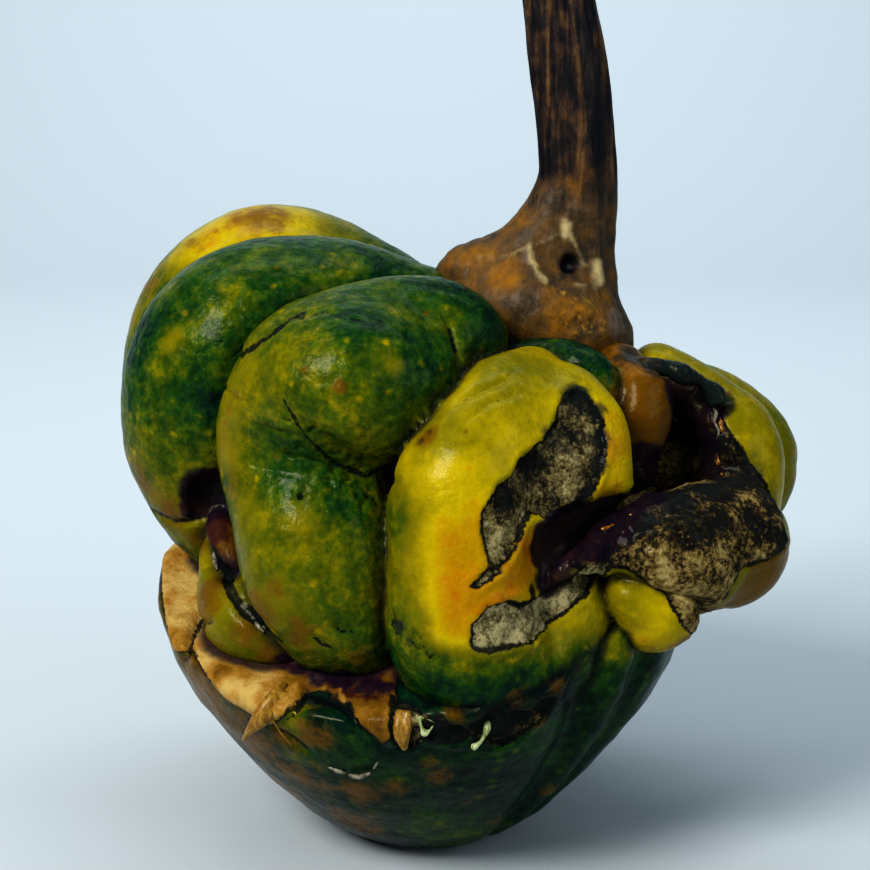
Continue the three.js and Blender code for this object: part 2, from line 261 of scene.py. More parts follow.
# Ripeness of each fold, from 0 for blue-black green through green, olive, yellow and orange to 1 for
# brown, and patches on it: X, Y, Z, reach and ripeness.
RIPENESS = {
    "core": (0.2, []),
    "back_arch": (0.18, [
        (-31, 21, 110, 9, 0.78), (-43, 20, 104, 7, 0.76), (-17, 24, 106, 7, 0.55), (-52, 24, 90, 7, 0.66),
        (-30, 40, 104, 9, 0.55), (-48, 34, 82, 9, 0.5), (-26, 20, 111, 6, 0.78), (-37, 20, 108, 6, 0.78),
    ]),
    "left_arch": (0.33, [
        (-42, -14, 66, 4, 0.56), (-42, -12, 59, 5, 0.6), (-40, -14.5, 94.5, 7, 0.36), (-33, -12, 90, 6, 0.3),
        (-47, -10, 98, 5, 0.2), (-52, -5, 92, 5, 0.14), (-31, -5, 104.5, 6, 0.36), (-22, -2, 107.5, 4, 0.14),
        (-33, 0, 107.5, 5, 0.14), (-42, -14, 71, 6, 0.46), (-43.8, -13, 93.2, 2.2, 0.93),
        (-41.8, -13.5, 94.6, 1.8, 0.85), (-42.5, -13, 90, 3.5, 0.46), (-50, -8, 70, 6, 0.52),
        (-46, -11, 62, 5, 0.56), (-33, -8, 102, 8, 0.42), (-38, -15, 95, 5, 0.42), (-48, -13, 89, 2.5, 0.5),
        (-26, -6, 106, 6, 0.4), (-15, -3, 104.5, 3, 0.58), (-46, -5, 101, 3, 0.5), (-51, -8, 85, 4, 0.28),
        (-45, -14, 79, 3, 0.36), (-46, -12, 75, 5, 0.45), (-52, 4, 78, 7, 0.4), (-38, -8, 104, 3, 0.24),
        (-12, -1, 103, 5, 0.14), (-30, -12, 95, 6, 0.22), (-35, -14, 84, 5, 0.16), (-20, -5, 106, 4, 0.22),
    ]),
    "fist": (0.46, [
        (0, -30, 93, 6, 0.2), (-5, -33, 87, 7, 0.4), (-33, -25, 86, 4, 0.6), (-34, -25, 78, 4, 0.63),
        (-30, -27, 92, 3.5, 0.6), (-25, -30, 95, 4, 0.52), (-5.5, -34, 93.5, 1.8, 0.8),
        (-3, -34.5, 87, 3, 0.45), (-10, -35, 81, 3.5, 0.5), (-22, -38, 63, 7, 0.5), (-9, -33, 60, 4, 0.44),
        (-8, -32, 68, 5, 0.42), (-23, -39, 56, 4, 0.58), (-29, -34, 61, 4, 0.56), (-30, -32, 68, 4, 0.56),
        (-26, -36, 53, 4, 0.58), (-16, -37, 45, 6, 0.42), (-15, -38, 57, 4.5, 0.5), (-14, -33, 72, 4, 0.36),
        (-14, -38, 50, 4, 0.46), (-18, -36, 92, 6, 0.46), (-26, -31, 88, 4, 0.5), (-21, -36, 68, 2.5, 0.6),
        (-12, -30, 101, 5, 0.18), (-24, -34, 76, 4, 0.3), (0, -18, 102, 4, 0.24), (3, -19, 98, 2, 0.52),
        (7, -17.5, 95, 2.4, 0.5), (-10, -20, 103, 4, 0.3), (10, -18, 96, 4, 0.13), (6, -14, 101, 4, 0.1),
        (-20, -25, 99, 4, 0.46), (-8, -35, 97, 3, 0.54), (-26, -32, 82, 4, 0.4), (-18, -38, 49, 3, 0.62),
        # These last patches darken the skin along the fist's crease: painted shade.
        (-20, -36, 76.5, 3, 0.16), (-16, -36, 74.5, 3, 0.12), (-12, -35, 72.5, 3.5, 0.12),
        (-23, -35, 79.5, 2.5, 0.22),
    ]),
    "heel": (0.57, [(-42, -12, 55.5, 4, 0.58), (-36, -23, 50.5, 4, 0.62), (-28, -33, 45, 6, 0.54)]),
    "wedge": (0.9, []),
    "front": (0.67, [
        (-5, -39, 69, 5, 0.5), (-6, -38, 60, 4, 0.53), (-4.5, -42, 51, 4, 0.42), (-6, -40, 45, 4, 0.24),
        (3.5, -46, 42.5, 6, 0.13), (14, -45, 42, 6, 0.13), (22, -41, 41, 5, 0.2), (8, -45.5, 37, 3, 0.55),
        (17, -43, 37.5, 3, 0.6), (1, -45.5, 37.5, 3, 0.45), (0, -37, 84, 4, 0.62), (12, -43.5, 66, 3, 0.86),
        (4.5, -44, 67, 3.5, 0.92), (0, -44, 66, 3.5, 0.76), (0.5, -44.5, 58, 3, 0.68), (8, -45, 59, 5, 0.86),
        (3, -45, 62, 4, 0.87), (5, -46, 55, 4, 0.83), (16, -36, 79, 4, 0.72), (15, -27, 91, 5, 0.58),
        (12, -30, 88, 4, 0.58), (-3, -42, 59, 4, 0.5), (28, -33.5, 54, 4, 0.66), (21, -41, 48, 4, 0.6),
        (-2, -43, 64, 3, 0.66), (0, -41, 76.5, 4, 0.7), (-4, -34, 87, 4, 0.5), (2, -36, 81, 3, 0.64),
        (-3, -43.5, 56, 3, 0.54), (27, -37, 42, 4, 0.25), (31, -28, 78, 4, 0.82), (30, -28, 84, 3, 0.8),
        (29.5, -31, 70.5, 3, 0.86), (13, -45, 49, 3, 0.62), (0, -44, 49, 3, 0.56), (6, -46, 48, 3, 0.6),
        (15.5, -40.5, 61, 4, 0.9), (17, -39, 65, 3, 0.88), (7, -44, 70, 4, 0.82), (4, -41, 76, 3, 0.76),
        (10, -40, 79, 3, 0.7),
    ]),
    "shoulder": (0.14, [
        (29, -18, 86, 3, 0.5), (32, -18, 82, 3.5, 0.66), (33, -14, 77, 4, 0.74), (20, -14, 92, 2.5, 0.5),
    ]),
    "bulge": (0.99, []),
    "crust": (0.1, []),
    "pea": (0.45, []),
    "snout": (0.6, [(57, -14, 56, 6, 0.62), (36, -30, 60, 8, 0.62), (62, -6, 66, 4, 0.64)]),
    "chin": (0.62, []),
    "nub": (0.7, [
        (36, -34, 45, 3.5, 0.8), (34, -35, 54, 3, 0.6), (39, -36, 51, 3, 0.72), (31, -33, 53, 4, 0.62),
    ]),
    "right_back": (0.54, [
        (52, 8, 80, 6, 0.54), (62, 8, 64, 5, 0.64), (45, 18, 84, 6, 0.5), (67, 16, 62, 4, 0.5),
    ]),
    "cheek": (0.25, []),
    "back_left": (0.2, [(-20, 52, 78, 9, 0.5), (-36, 44, 66, 8, 0.62)]),
    "back_middle": (0.3, [(6, 52, 74, 9, 0.62), (6, 54, 58, 8, 0.3)]),
    "back_right": (0.24, [(38, 40, 66, 9, 0.55)]),
    "cup": (0.12, [
        (-39, -25, 37, 6, 0.4), (-47, -8, 38, 7, 0.4), (-14, -41, 33, 4, 0.2), (-22, -37, 30, 4, 0.4),
        (-6, -39, 24, 4, 0.26), (0, -30, 12, 5, 0.3), (8, -42, 30, 5, 0.14), (28, -32, 34, 8, 0.13),
        (-21.5, -38, 35.5, 2.2, 0.78), (20, -36, 20, 6, 0.12), (34, -27, 34, 7, 0.16),
        (14, -33, 21, 7, 0.08), (8, -22, 6, 6, 0.3), (-46, 12, 34, 10, 0.5), (-30, 36, 32, 12, 0.5),
        (36, 20, 30, 12, 0.25), (34, -31, 45, 4, 0.5), (30, -33, 46, 3, 0.6),
    ]),
}
PATCH_WEIGHT = 2.5  # how strongly the patches hide the fold's own ripeness

# Places where the flesh is browner than its tone: X, Y, Z, reach and how much.
STAINS = [
    (-20, -36, 40, 4, 0.5), (-24, -35, 41, 3.5, 0.5), (-20, -38, 39, 3, 0.4), (-47, -18, 45, 4, 0.3),
    (-12, -37, 40, 5, 0.3), (-36, -29, 39, 2, 0.35), (-52, -8, 52, 4, 0.2),
]

# Places where the skin has turned a dead brown: X, Y, Z, reach and how brown.
RUST = [
    (-40, -25, 33, 11, 1.1), (-48, -8, 36, 11, 1.1), (-33, -32, 25, 10, 1), (-24, -33, 18, 8, 0.9),
    (-30, -18, 12, 9, 1), (-12, -36, 19, 5, 0.9), (-14, -26, 9, 7, 0.8), (-25, -38, 30, 5, 0.8),
    (-6, -38, 22, 4, 0.6), (2, -41, 25, 3.5, 0.6), (22, -24, 13, 4, 0.7), (14, -24, 8, 5, 0.6),
    (-18, -40, 34, 4.5, 0.8), (-46, 12, 34, 11, 1), (-31, 21, 110, 8, 0.75), (-43, 20, 104, 5, 0.55),
    (-50, 22, 96, 6, 0.55), (-52, 24, 86, 6, 0.5), (-33.5, -26, 72, 5, 0.5), (-33, -26, 86, 4, 0.4),
    (-34, -25, 79, 3.5, 0.45), (-50, -8, 68, 5, 0.6), (-46, -11, 61, 5, 0.8), (-36, -22, 50, 5, 1.05),
    (-27, -33, 43, 5, 0.85), (-31, -29, 47, 4, 0.7), (-16, -38, 44, 4, 0.55), (-22, -38, 50, 5, 0.65),
    (-27, -35, 53, 5, 0.65), (-11, -38, 45, 4, 0.6), (-25, -37, 57, 3, 0.5), (-19, -38, 45.5, 4, 0.6),
    (56, -23, 54, 8, 1.4), (54, -14, 48, 8, 1.4), (36, -34, 45, 3, 0.6), (9, -46, 36.5, 3, 0.7),
    (18, -43, 36.5, 3, 0.7), (8, -46, 57, 4, 0.3), (31, -31, 71, 3, 0.5), (68, 14, 60, 4, 0.5),
    (54, 12, 79, 4, 0.3), (33, -31, 46, 3, 0.5), (-10, -35, 44, 4, 0.5), (-36, -10, 100, 3, 0.3),
    (-41, -12, 56, 4, 0.8), (-44, -12, 64, 3, 0.6), (50, 6, 82, 5, 0.5), (62, 8, 72, 5, 0.4),
    (4, -45.5, 38.5, 2.5, 0.7), (14, -44.5, 41, 2.5, 0.7), (21, -42, 42, 2.5, 0.7),
    (13, -43, 35.8, 1.2, 0.9), (-14, -36.5, 90.6, 1.3, 1.1), (-0.5, -36, 82.4, 2.6, 0.8),
    (35, -12, 80, 8, 1), (36, -7, 89, 4, 0.9), (42, -33, 47, 3, 0.75), (40, -34, 45, 3, 0.6),
    (-3, -38, 14, 5, 0.7), (8, -36, 17, 4, 0.5), (-20, -38, 24, 4, 0.7), (0, -42, 29, 3, 0.45),
]

# Folds that are bare flesh all over, and their tone.
BARE_FOLDS = {"wedge": 0.95}

# Places painted purple-black: painted shade in the hollows, the pits and the gap under the fist, with wet rot
# in it. X, Y, Z and reach.
ROT_AND_SHADE = [
    (-38, -12, 67, 6), (-34, -16, 69, 4), (-41, -12.5, 63.5, 3), (19.5, -38.5, 63.5, 3.6),
    (22.3, -36.6, 64.6, 5), (26, -34, 65.4, 5.6), (30, -31.4, 66.4, 4.4), (34, -29, 67, 3.6),
    (28.5, -28, 67, 3.6), (31, -26.5, 69, 3), (44, -8, 74, 7.5), (45, -10, 67, 7.5), (45, -4, 61, 6),
    (40, -12, 66, 6), (-5, -31, 74, 3.5), (36, -27, 67, 4.5), (43, -2, 79, 7), (49, -2, 78, 4.5),
    (42.5, -10, 80, 3.5), (36, -15, 71.5, 5.5), (42, -11, 84, 2.5), (21, -33, 64, 6.5), (17.5, -35, 66.5, 3),
    (20.5, -34.5, 60.5, 3.2), (24, -30, 66, 5), (19.5, -35.5, 57.8, 3), (16.6, -39.4, 57.4, 1.7),
    (22, -35.5, 59.5, 3), (-24, -30.5, 42.2, 2), (-21.5, -31.5, 41.6, 2.4), (-18, -34, 41, 2.4),
    (-14, -36, 40.8, 2.6), (-10, -38, 40.8, 2.6), (-7, -39, 41, 2.2),
]
# Blackened places on cork and skin: X, Y, Z, reach and how black.
SOOT = [
    (1, -45, 36, 3.2, 1.3), (4.5, -44.5, 35.5, 2.6, 1.3), (9.5, -44.5, 36.5, 3.5, 1.3),
    (12, -44, 34, 3.2, 1.3), (15, -43.5, 37, 3, 1.3), (18.5, -43, 39, 2.4, 1.3), (38.5, -9.5, 87, 3.2, 1.25),
    (43.5, -8.5, 87, 3, 1.3), (47, -6, 85, 3, 1.3), (50, -6, 83, 3, 1.3), (51.5, -3, 80, 3, 1.2),
    (34, -10, 87.5, 3, 0.6), (33, -8, 90, 3.5, 0.95), (54, -19, 64, 6, 0.75), (47, -25, 66, 5, 0.75),
    (58, -14, 62, 5, 0.8), (35, -8, 90, 3, 1.2), (50, -24, 58, 2.6, 1), (55, -19, 58, 3, 1),
    (59, -14, 59, 3, 1), (23, -32, 79, 8, 0.5), (21, -36, 72, 6, 0.42), (27.5, -27, 84, 2.8, 0.95),
    (28.3, -29, 80, 2.8, 0.9), (27.5, -30, 76, 2.8, 0.9), (25.8, -32, 72, 2.6, 0.8),
    (24.5, -26, 87, 2.2, 1.2), (40, -29, 69, 5, 0.95), (46, -24, 70, 5, 0.95), (51, -18, 70, 5, 0.9),
    (-19, -38.5, 38.2, 1.6, 1.25), (-16.5, -39.5, 37.8, 1.6, 1.25), (-14, -40.5, 37.2, 1.5, 1.25),
    (-12, -41.5, 36, 1.2, 1.2), (-4, -45.5, 35, 2.6, 1.3), (24, -26, 86.5, 4.5, 0.8),
    (20.5, -33, 82, 4, 0.8), (17, -37, 77.5, 4.5, 0.9), (13, -41, 73.5, 4, 0.85), (27.5, -30, 78, 6, 0.6),
    (22, -34, 74, 6, 0.5), (25, -34, 70.5, 3.5, 0.8), (13, -42, 58, 3, 0.3), (27, -34, 64, 4, 0.9),
    (31, -33, 66, 4.5, 0.8), (36, -33, 67.5, 4.5, 0.75), (42, -33, 68, 5, 0.75), (47, -31, 67, 5, 0.7),
    (52, -27, 64.5, 5, 0.7), (57, -24, 61, 4.5, 0.75), (51, -6, 75, 4, 0.7), (55, -10, 69, 6, 0.72),
    (56, -17, 65, 6, 0.72), (50, -2, 82, 4, 1), (40, -6, 90, 5.5, 1), (35, -4, 90.5, 4, 0.9),
    (45, -3, 87, 5, 1), (33, -35, 61.5, 2.5, 0.5), (-1.2, -36, 81.4, 1.3, 0.95), (-0.2, -36, 83.2, 1.2, 0.9),
    (-5, -43, 52.6, 1.8, 1.15), (-2.2, -43.5, 50.4, 1.8, 1.2), (0.8, -44, 49.6, 2.2, 1.2),
]


# ---------------------------------------------------------------- distance fields

def spline(balls, spacing=2.5):
    """Balls along the smooth curve through the given ones, about that far apart."""
    knots = np.array(balls, float)
    knots = np.vstack([2 * knots[0] - knots[1], knots, 2 * knots[-1] - knots[-2]])
    out = []
    for before, start, end, after in zip(knots, knots[1:], knots[2:], knots[3:]):
        count = max(2, round(np.linalg.norm((end - start)[:3]) / spacing))
        for t in np.arange(count) / count:
            bend = (2 * before - 5 * start + 4 * end - after) * t ** 2
            twist = (3 * start - before - 3 * end + after) * t ** 3
            out.append(0.5 * (2 * start + (end - before) * t + bend + twist))
    return np.array(out + [knots[-2]])


def smooth_min(a, b, reach):
    """The lower of two distances, rounded off where they differ by less than reach."""
    near = np.maximum(reach - np.abs(a - b), 0) / reach
    return np.minimum(a, b) - near * near * reach / 4


def segment_distance(points, start, end):
    """The distance from points to the skin of two joined balls."""
    way = end[:3] - start[:3]
    along = np.clip(((points - start[:3]) @ way) / max(way @ way, 1e-9), 0, 1)
    off = points - start[:3] - along[..., None] * way
    return np.sqrt((off * off).sum(-1)) - (start[3] + along * (end[3] - start[3]))


def chain_distance(points, balls):
    """The distance from points to the skin of a chain of balls."""
    beads = spline(balls, 4)
    return np.min([segment_distance(points, a, b) for a, b in zip(beads, beads[1:])], axis=0)


def group_distance(points, chains):
    """The distance from points to the nearest of several chains."""
    return np.min([chain_distance(points, balls) for balls in chains], axis=0)


def interpolate(values, corner, share):
    """A repeating grid's values between its points: corner is the point below, and share how far past it."""
    total = np.zeros(len(corner))
    for offset in itertools.product((0, 1), repeat=3):
        weight = np.prod(np.where(offset, share, 1 - share), axis=1)
        total += weight * values[tuple(((corner + offset) % values.shape).T)]
    return total


class Field:
    """Signed distances on a regular grid of points, negative inside the solid."""

    FAR = 6.0  # distances are kept up to this
    NUDGE = 0.9  # slopes are measured over this much to each side, or less on a fine grid

    def __init__(self, axes, value=None):
        self.axes = axes
        self.step = float(axes[0][1] - axes[0][0])
        self.low = np.array([axis[0] for axis in axes], float)
        self.value = np.full([len(axis) for axis in axes], self.FAR, np.float32) if value is None else value

    @staticmethod
    def box(low, high, step):
        """A field with nothing in it, between two corners."""
        return Field([np.arange(lo, hi + step, step, dtype=np.float32) for lo, hi in zip(low, high)])

    def blank(self):
        """A field on the same grid with nothing in it."""
        return Field(self.axes)

    def window(self, low, high):
        """The part of this field between two corners, sharing its values."""
        first = np.floor((np.array(low) - self.low) / self.step).astype(int).clip(0)
        last = np.ceil((np.array(high) - self.low) / self.step).astype(int).clip(0) + 1
        block = tuple(slice(a, max(b, a + 2)) for a, b in zip(first, last))
        return Field([axis[part] for axis, part in zip(self.axes, block)], self.value[block])

    def around(self, *chains):
        """The part of this field that some chains of balls reach."""
        balls = np.concatenate([spline(chain) for chain in chains])
        reach = balls[:, 3:] + self.FAR
        return self.window((balls[:, :3] - reach).min(0), (balls[:, :3] + reach).max(0))

    def thinned(self, stride):
        """The same field on every stride-th point of its grid."""
        part = slice(None, None, stride)
        return Field([axis[part] for axis in self.axes], self.value[part, part, part])

    def points(self):
        """The grid's points."""
        return np.stack(np.meshgrid(*self.axes, indexing="ij"), -1)

    def add_chain(self, balls):
        """Joins a chain of balls on with no blend."""
        beads = spline(balls)
        for a, b in zip(beads, beads[1:]):
            reach = max(a[3], b[3]) + self.FAR
            part = self.window(np.minimum(a, b)[:3] - reach, np.maximum(a, b)[:3] + reach)
            if part.value.size:
                link = segment_distance(part.points(), a, b)
                np.minimum(part.value, link, out=part.value, casting="same_kind")

    def join(self, other, reach):
        """Melts another solid onto this one."""
        self.value[...] = smooth_min(self.value, other.value, reach)

    def cut(self, other, reach):
        """Takes another solid away, with a rounded edge."""
        self.value[...] = -smooth_min(-self.value, other.value, reach)

    def soften(self):
        """Evens out detail finer than the mesh that is to come."""
        for axis in range(3):
            before, after = np.roll(self.value, 1, axis), np.roll(self.value, -1, axis)
            self.value[...] = (before + 2 * self.value + after) / 4

    def sample(self, points):
        """The distance at any points, by interpolation."""
        last = np.array(self.value.shape) - 1.001  # just short of the last point, to have one beyond it
        place = ((points - self.low) / self.step).clip(0, last)
        corner = place.astype(int)
        return interpolate(self.value, corner, place - corner)

    def gradient(self, points):
        """The way out of the solid at any points, of unit length."""
        nudge = min(self.NUDGE, 1.8 * self.step)
        slope = np.stack([self.sample(points + nudge * axis) - self.sample(points - nudge * axis)
                          for axis in np.eye(3)], -1)
        return slope / np.maximum(np.linalg.norm(slope, axis=1), 1e-9)[:, None]

    def mesh(self):
        """Vertices and quads of the field's skin: one vertex in each cell that the skin passes through."""
        inside = self.value < 0
        shape = np.array(self.value.shape) - 1
        count = sum(inside[tuple(slice(o, n + o) for o, n in zip(offset, shape))].astype(np.int8)
                    for offset in itertools.product((0, 1), repeat=3))
        cells = np.argwhere((count > 0) & (count < 8))
        number = np.full(shape, -1)
        number[tuple(cells.T)] = np.arange(len(cells))
        total, crossings = np.zeros((len(cells), 3)), np.zeros(len(cells))
        quads = []
        for axis in range(3):
            along = np.eye(3, dtype=int)[axis]
            side_a, side_b = np.eye(3, dtype=int)[(axis + 1) % 3], np.eye(3, dtype=int)[(axis + 2) % 3]
            for p, q in itertools.product((0, 1), repeat=2):
                start = cells + p * side_a + q * side_b
                from_value = self.value[tuple(start.T)]
                to_value = self.value[tuple((start + along).T)]
                crosses = (from_value < 0) != (to_value < 0)
                share = from_value[crosses] / (from_value[crosses] - to_value[crosses])
                total[crosses] += start[crosses] + share[:, None] * along
                crossings[crosses] += 1
            low = inside[tuple(slice(0, -1) if a else slice(1, -1) for a in along)]
            high = inside[tuple(slice(1, None) if a else slice(1, -1) for a in along)]
            edges = np.argwhere(low != high) + (1 - along)
            quad = np.stack([number[tuple((edges - a * side_a - b * side_b).T)]
                             for a, b in ((1, 1), (0, 1), (0, 0), (1, 0))], 1)
            leaving = inside[tuple(edges.T)]
            quad[~leaving] = quad[~leaving][:, ::-1]
            quads.append(quad)
        points = self.low + self.step * total / crossings[:, None]
        return points, np.concatenate(quads)


def relax(points, quads, field, rounds=3):
    """Evens out the mesh, and puts it back on the field's skin."""
    pairs = np.concatenate([quads[:, [i, (i + 1) % 4]] for i in range(4)])
    pairs = np.concatenate([pairs, pairs[:, ::-1]])
    degree = np.bincount(pairs[:, 0], minlength=len(points))
    for _ in range(rounds):
        mean = np.stack([np.bincount(pairs[:, 0], points[pairs[:, 1], k], len(points)) for k in range(3)], 1)
        points = 0.5 * points + 0.5 * mean / degree[:, None]
        points = settle(points, field)
    return points


def settle(points, field):
    """Moves points onto the field's skin."""
    return points - np.clip(field.sample(points), -1, 1)[:, None] * field.gradient(points)


def refine(points, quads, chosen):
    """Splits the chosen quads in four. Their neighbours take up the new points on their edges."""
    ends = np.sort(np.stack([quads, np.roll(quads, -1, axis=1)], -1), -1)
    key = ends[..., 0] * len(points) + ends[..., 1]
    split = np.unique(key[chosen])
    middles = (points[split // len(points)] + points[split % len(points)]) / 2
    centres = points[quads[chosen]].mean(1)
    place = np.searchsorted(split, key).clip(0, len(split) - 1)
    is_split = split[place] == key
    middle = len(points) + place
    centre = len(points) + len(middles) + np.arange(len(centres))
    quarters = [np.stack([quads[chosen][:, i], middle[chosen][:, i], centre, middle[chosen][:, i - 1]], 1)
                for i in range(4)]
    beside = is_split.any(1) & ~chosen
    faces = [np.concatenate([quads[~chosen & ~beside]] + quarters)]
    for quad, mid, has in zip(quads[beside], middle[beside], is_split[beside]):
        face = [n for corner, m, h in zip(quad, mid, has) for n in ([corner, m] if h else [corner])]
        faces.append(np.array([face]))
    return np.concatenate([points, middles, centres]), faces


# ---------------------------------------------------------------- noise, outlines and lines

NOISE_GRID = 32  # random numbers on a side, before the noise repeats itself
# A turn that keeps the noise from lining up with the axes.
NOISE_TURN = np.array([[0.36, 0.48, -0.8], [-0.8, 0.6, 0], [0.48, 0.64, 0.6]])
AWAY = -6.0  # stands for a place well outside an outline


def noise(points, size, seed):
    """Smooth random lumps about `size` across, from -1 to 1."""
    table = np.random.default_rng(seed).uniform(-1, 1, [NOISE_GRID] * 3)
    place = points @ NOISE_TURN / size
    corner = np.floor(place).astype(int)
    share = place - corner
    return interpolate(table, corner, share * share * (3 - 2 * share))


def fractal(points, size, seed, sizes):
    """Noise with finer and weaker noise on it, each half the size of the one before."""
    return sum(noise(points, size / 2 ** i, seed + i) / 2 ** i for i in range(sizes))


def ease(value, low, high):
    """From 0 to 1 as the value goes from low to high, with a soft start and end."""
    share = np.clip((value - low) / (high - low), 0, 1)
    return share * share * (3 - 2 * share)


def off_segment(x, z, start, end):
    """How far places in the front plane lie from a segment, and the share of it at their nearest point."""
    way_x, way_z = end[0] - start[0], end[1] - start[1]
    along = np.clip(((x - start[0]) * way_x + (z - start[1]) * way_z) / (way_x ** 2 + way_z ** 2), 0, 1)
    return np.hypot(x - start[0] - along * way_x, z - start[1] - along * way_z), along


def depth_inside(points, outline, back):
    """How far points lie inside an outline in the front plane that ends at a back Y. Outside it, below 0."""
    x, z = points[:, 0], points[:, 2]
    nearest = np.full(len(points), -AWAY)
    inside = np.zeros(len(points), bool)
    for (x0, z0), (x1, z1) in zip(outline, outline[1:] + outline[:1]):
        nearest = np.minimum(nearest, off_segment(x, z, (x0, z0), (x1, z1))[0])
        if z0 != z1:
            inside ^= ((z0 > z) != (z1 > z)) & (x < x0 + (z - z0) * (x1 - x0) / (z1 - z0))
    return np.minimum(np.where(inside, nearest, -nearest), back - points[:, 1])


def line_distance(points, line, back=-5):
    """How far points lie from a line in the front plane, and how far along it their nearest point is."""
    x, z = points[:, 0], points[:, 2]
    nearest, place, run = np.full(len(points), -AWAY), np.zeros(len(points)), 0.0
    for start, end in zip(line, line[1:]):
        length = math.dist(start, end)
        off, along = off_segment(x, z, start, end)
        place = np.where(off < nearest, run + along * length, place)
        nearest = np.minimum(nearest, off)
        run += length
    return np.where(points[:, 1] < back, nearest, -AWAY), place / run


def zones(points, kinds, part):
    """How far points lie inside the nearest of a part's places, its tone, and how far they stand out."""
    depth, tone, lift = np.full(len(points), AWAY), np.zeros(len(points)), np.zeros(len(points))
    wander, lump = RAGGED_BACK
    ragged = wander * noise(points, lump, 31)
    for owner, back, zone_tone, zone_lift, outline in kinds.values():
        if part not in owner:
            continue
        here = depth_inside(points, outline, back + ragged)
        tone = np.where(here > depth, zone_tone, tone)
        lift += zone_lift * ease(here, -0.15, 0.7)
        depth = np.maximum(depth, here)
    return depth, tone, lift


def cracks(points):
    """How far points lie inside the nearest crack, and how deep it is there."""
    inside, deep = np.full(len(points), AWAY), np.zeros(len(points))
    for width, depth, line in CRACKS.values():
        off, along = line_distance(points, line)
        # Uneven, and thinner and shallower towards both ends.
        taper = np.sqrt(np.clip(4 * along * (1 - along), 0.08, 1)) * (1 + 0.35 * noise(points, 1.6, 71))
        inside = np.maximum(inside, width * (taper if width > 0 else 1) - off)
        deep = np.maximum(deep, depth * taper * np.exp(-(off / (1.2 * max(width, 0) + 0.35)) ** 2))
    return inside, deep


def balls_depth(points, balls):
    """How far points lie inside the nearest of some balls."""
    return np.max([radius - np.linalg.norm(points - (x, y, z), axis=1) for x, y, z, radius in balls], axis=0)


def nearness(points, x, y, z, reach):
    """From 1 at a spot's middle to about a third at its reach, and on to 0."""
    return np.exp(-((points - (x, y, z)) ** 2).sum(1) / reach ** 2)


def spread(points, spots):
    """How much of some spots' colour each point has."""
    return np.max([amount * nearness(points, *place) for *place, amount in spots], axis=0)


def ripeness(points, name):
    """The ripeness that one fold gives its skin."""
    own, spots = RIPENESS[name]
    total, weights = np.zeros(len(points)), np.full(len(points), 1e-6)
    for *place, ripe in spots:
        weight = nearness(points, *place)
        total += weight * ripe
        weights += weight
    return own + (total / weights - own) * (1 - np.exp(-PATCH_WEIGHT * weights))


# ---------------------------------------------------------------- the fruit

STRIDE = 2  # the skin's mesh takes every second point of the field's grid
NEAR_EDGE = 1.1  # the mesh is finer this close to the edges of scars, wounds and cracks,
DEEP_PLEAT = 0.06  # where the wrinkles are deeper than this,
THICK_SOOT = 1.05  # and where the soot is thicker than this
PORES = {"crown": 1.0, "cup": 0.3}  # how much the pores of each part show
PLEATS = 10  # along the fist's crease
PLEAT_DEPTH = 1.1
CORK_LIP = 0.3  # height of the raised edge round each patch of cork
# Uneven ground, as height, size of the largest lumps, seed and number of sizes: of all skin, and then of
# cork, flesh, the rot and painted shade in the hollows, and soot on top of it.
SKIN_RELIEF = [(0.4, 17, 1, 3), (0.10, 5, 5, 3), (0.04, 1.7, 9, 1)]
CORK_RELIEF = (0.33, 2.6, 21, 3)
FLESH_RELIEF = (0.4, 4.5, 31, 3)
ROT_RELIEF = (0.45, 3.5, 41, 3)
SOOT_RELIEF = (0.6, 2.4, 45, 3)
# The corners of the grids that the fields are worked out on.
CROWN_BOX = ([-62, -50, 19.4], [74, 60, 114])
CUP_BOX = ([-54, -54, -2.5], [54, 54, 80])
STEM_BOX = ([-2, -10, 74], [42, 24, 169])


def crown_field():
    """All the folds pressed together, with a groove along each crease and the hollows cut in."""
    crown = Field.box(*CROWN_BOX, GRID)
    for balls in CORE:
        crown.add_chain(balls)
    runner_up = crown.blank()
    for name, chains in FOLDS.items():
        whole = crown.around(*chains)
        fold = whole.blank()
        for balls in chains:
            part = fold.blank()
            part.add_chain(balls)
            fold.join(part, MELT)
        for balls in HOLLOWS.get(name, []):
            hollow = fold.blank()
            hollow.add_chain(balls)
            fold.cut(hollow, HOLLOW_ROUNDING)
        second = runner_up.around(*chains)
        second.value[...] = np.minimum(second.value, np.maximum(whole.value, fold.value))
        np.minimum(whole.value, fold.value, out=whole.value)
    gap = runner_up.value - crown.value
    crown.value += CREASE_DEPTH * np.exp(-(gap / CREASE_WIDTH) ** 2)
    for balls in PITS:
        whole = crown.around(balls)
        pit = whole.blank()
        pit.add_chain(balls)
        whole.cut(pit, PIT_ROUNDING)
    for _ in range(2):
        crown.soften()
    return crown


def cup_field():
    """The lower cup, pinched in at its valleys and torn off along a tilted plane."""
    cup = Field.box(*CUP_BOX, GRID)
    points = cup.points()
    x, y, z = points[..., 0] - CUP_CENTRE_X, points[..., 1], points[..., 2]
    radii, heights = np.array(CUP_PROFILE, float).T
    azimuth = np.degrees(np.arctan2(y, x))
    widest = radii.max()
    pinch = sum(depth / widest * np.exp(-(((azimuth - at + 180) % 360 - 180) / width) ** 2)
                for at, depth, width in CUP_VALLEYS)
    wall = np.interp(z, heights, radii) * (1 - pinch)
    slope = np.gradient(np.interp(z[0, 0], heights, radii), cup.step)
    side = (np.hypot(x, y) - wall) / np.sqrt(1 + slope ** 2)
    height, rise_x, rise_y = RIM
    above = (z - (height + rise_x * points[..., 0] + rise_y * y)) / math.hypot(1, rise_x, rise_y)
    body = -smooth_min(-np.maximum(side, -z), -above, RIM_ROUNDING)
    cup.value[...] = np.clip(body, -Field.FAR, Field.FAR)
    return cup


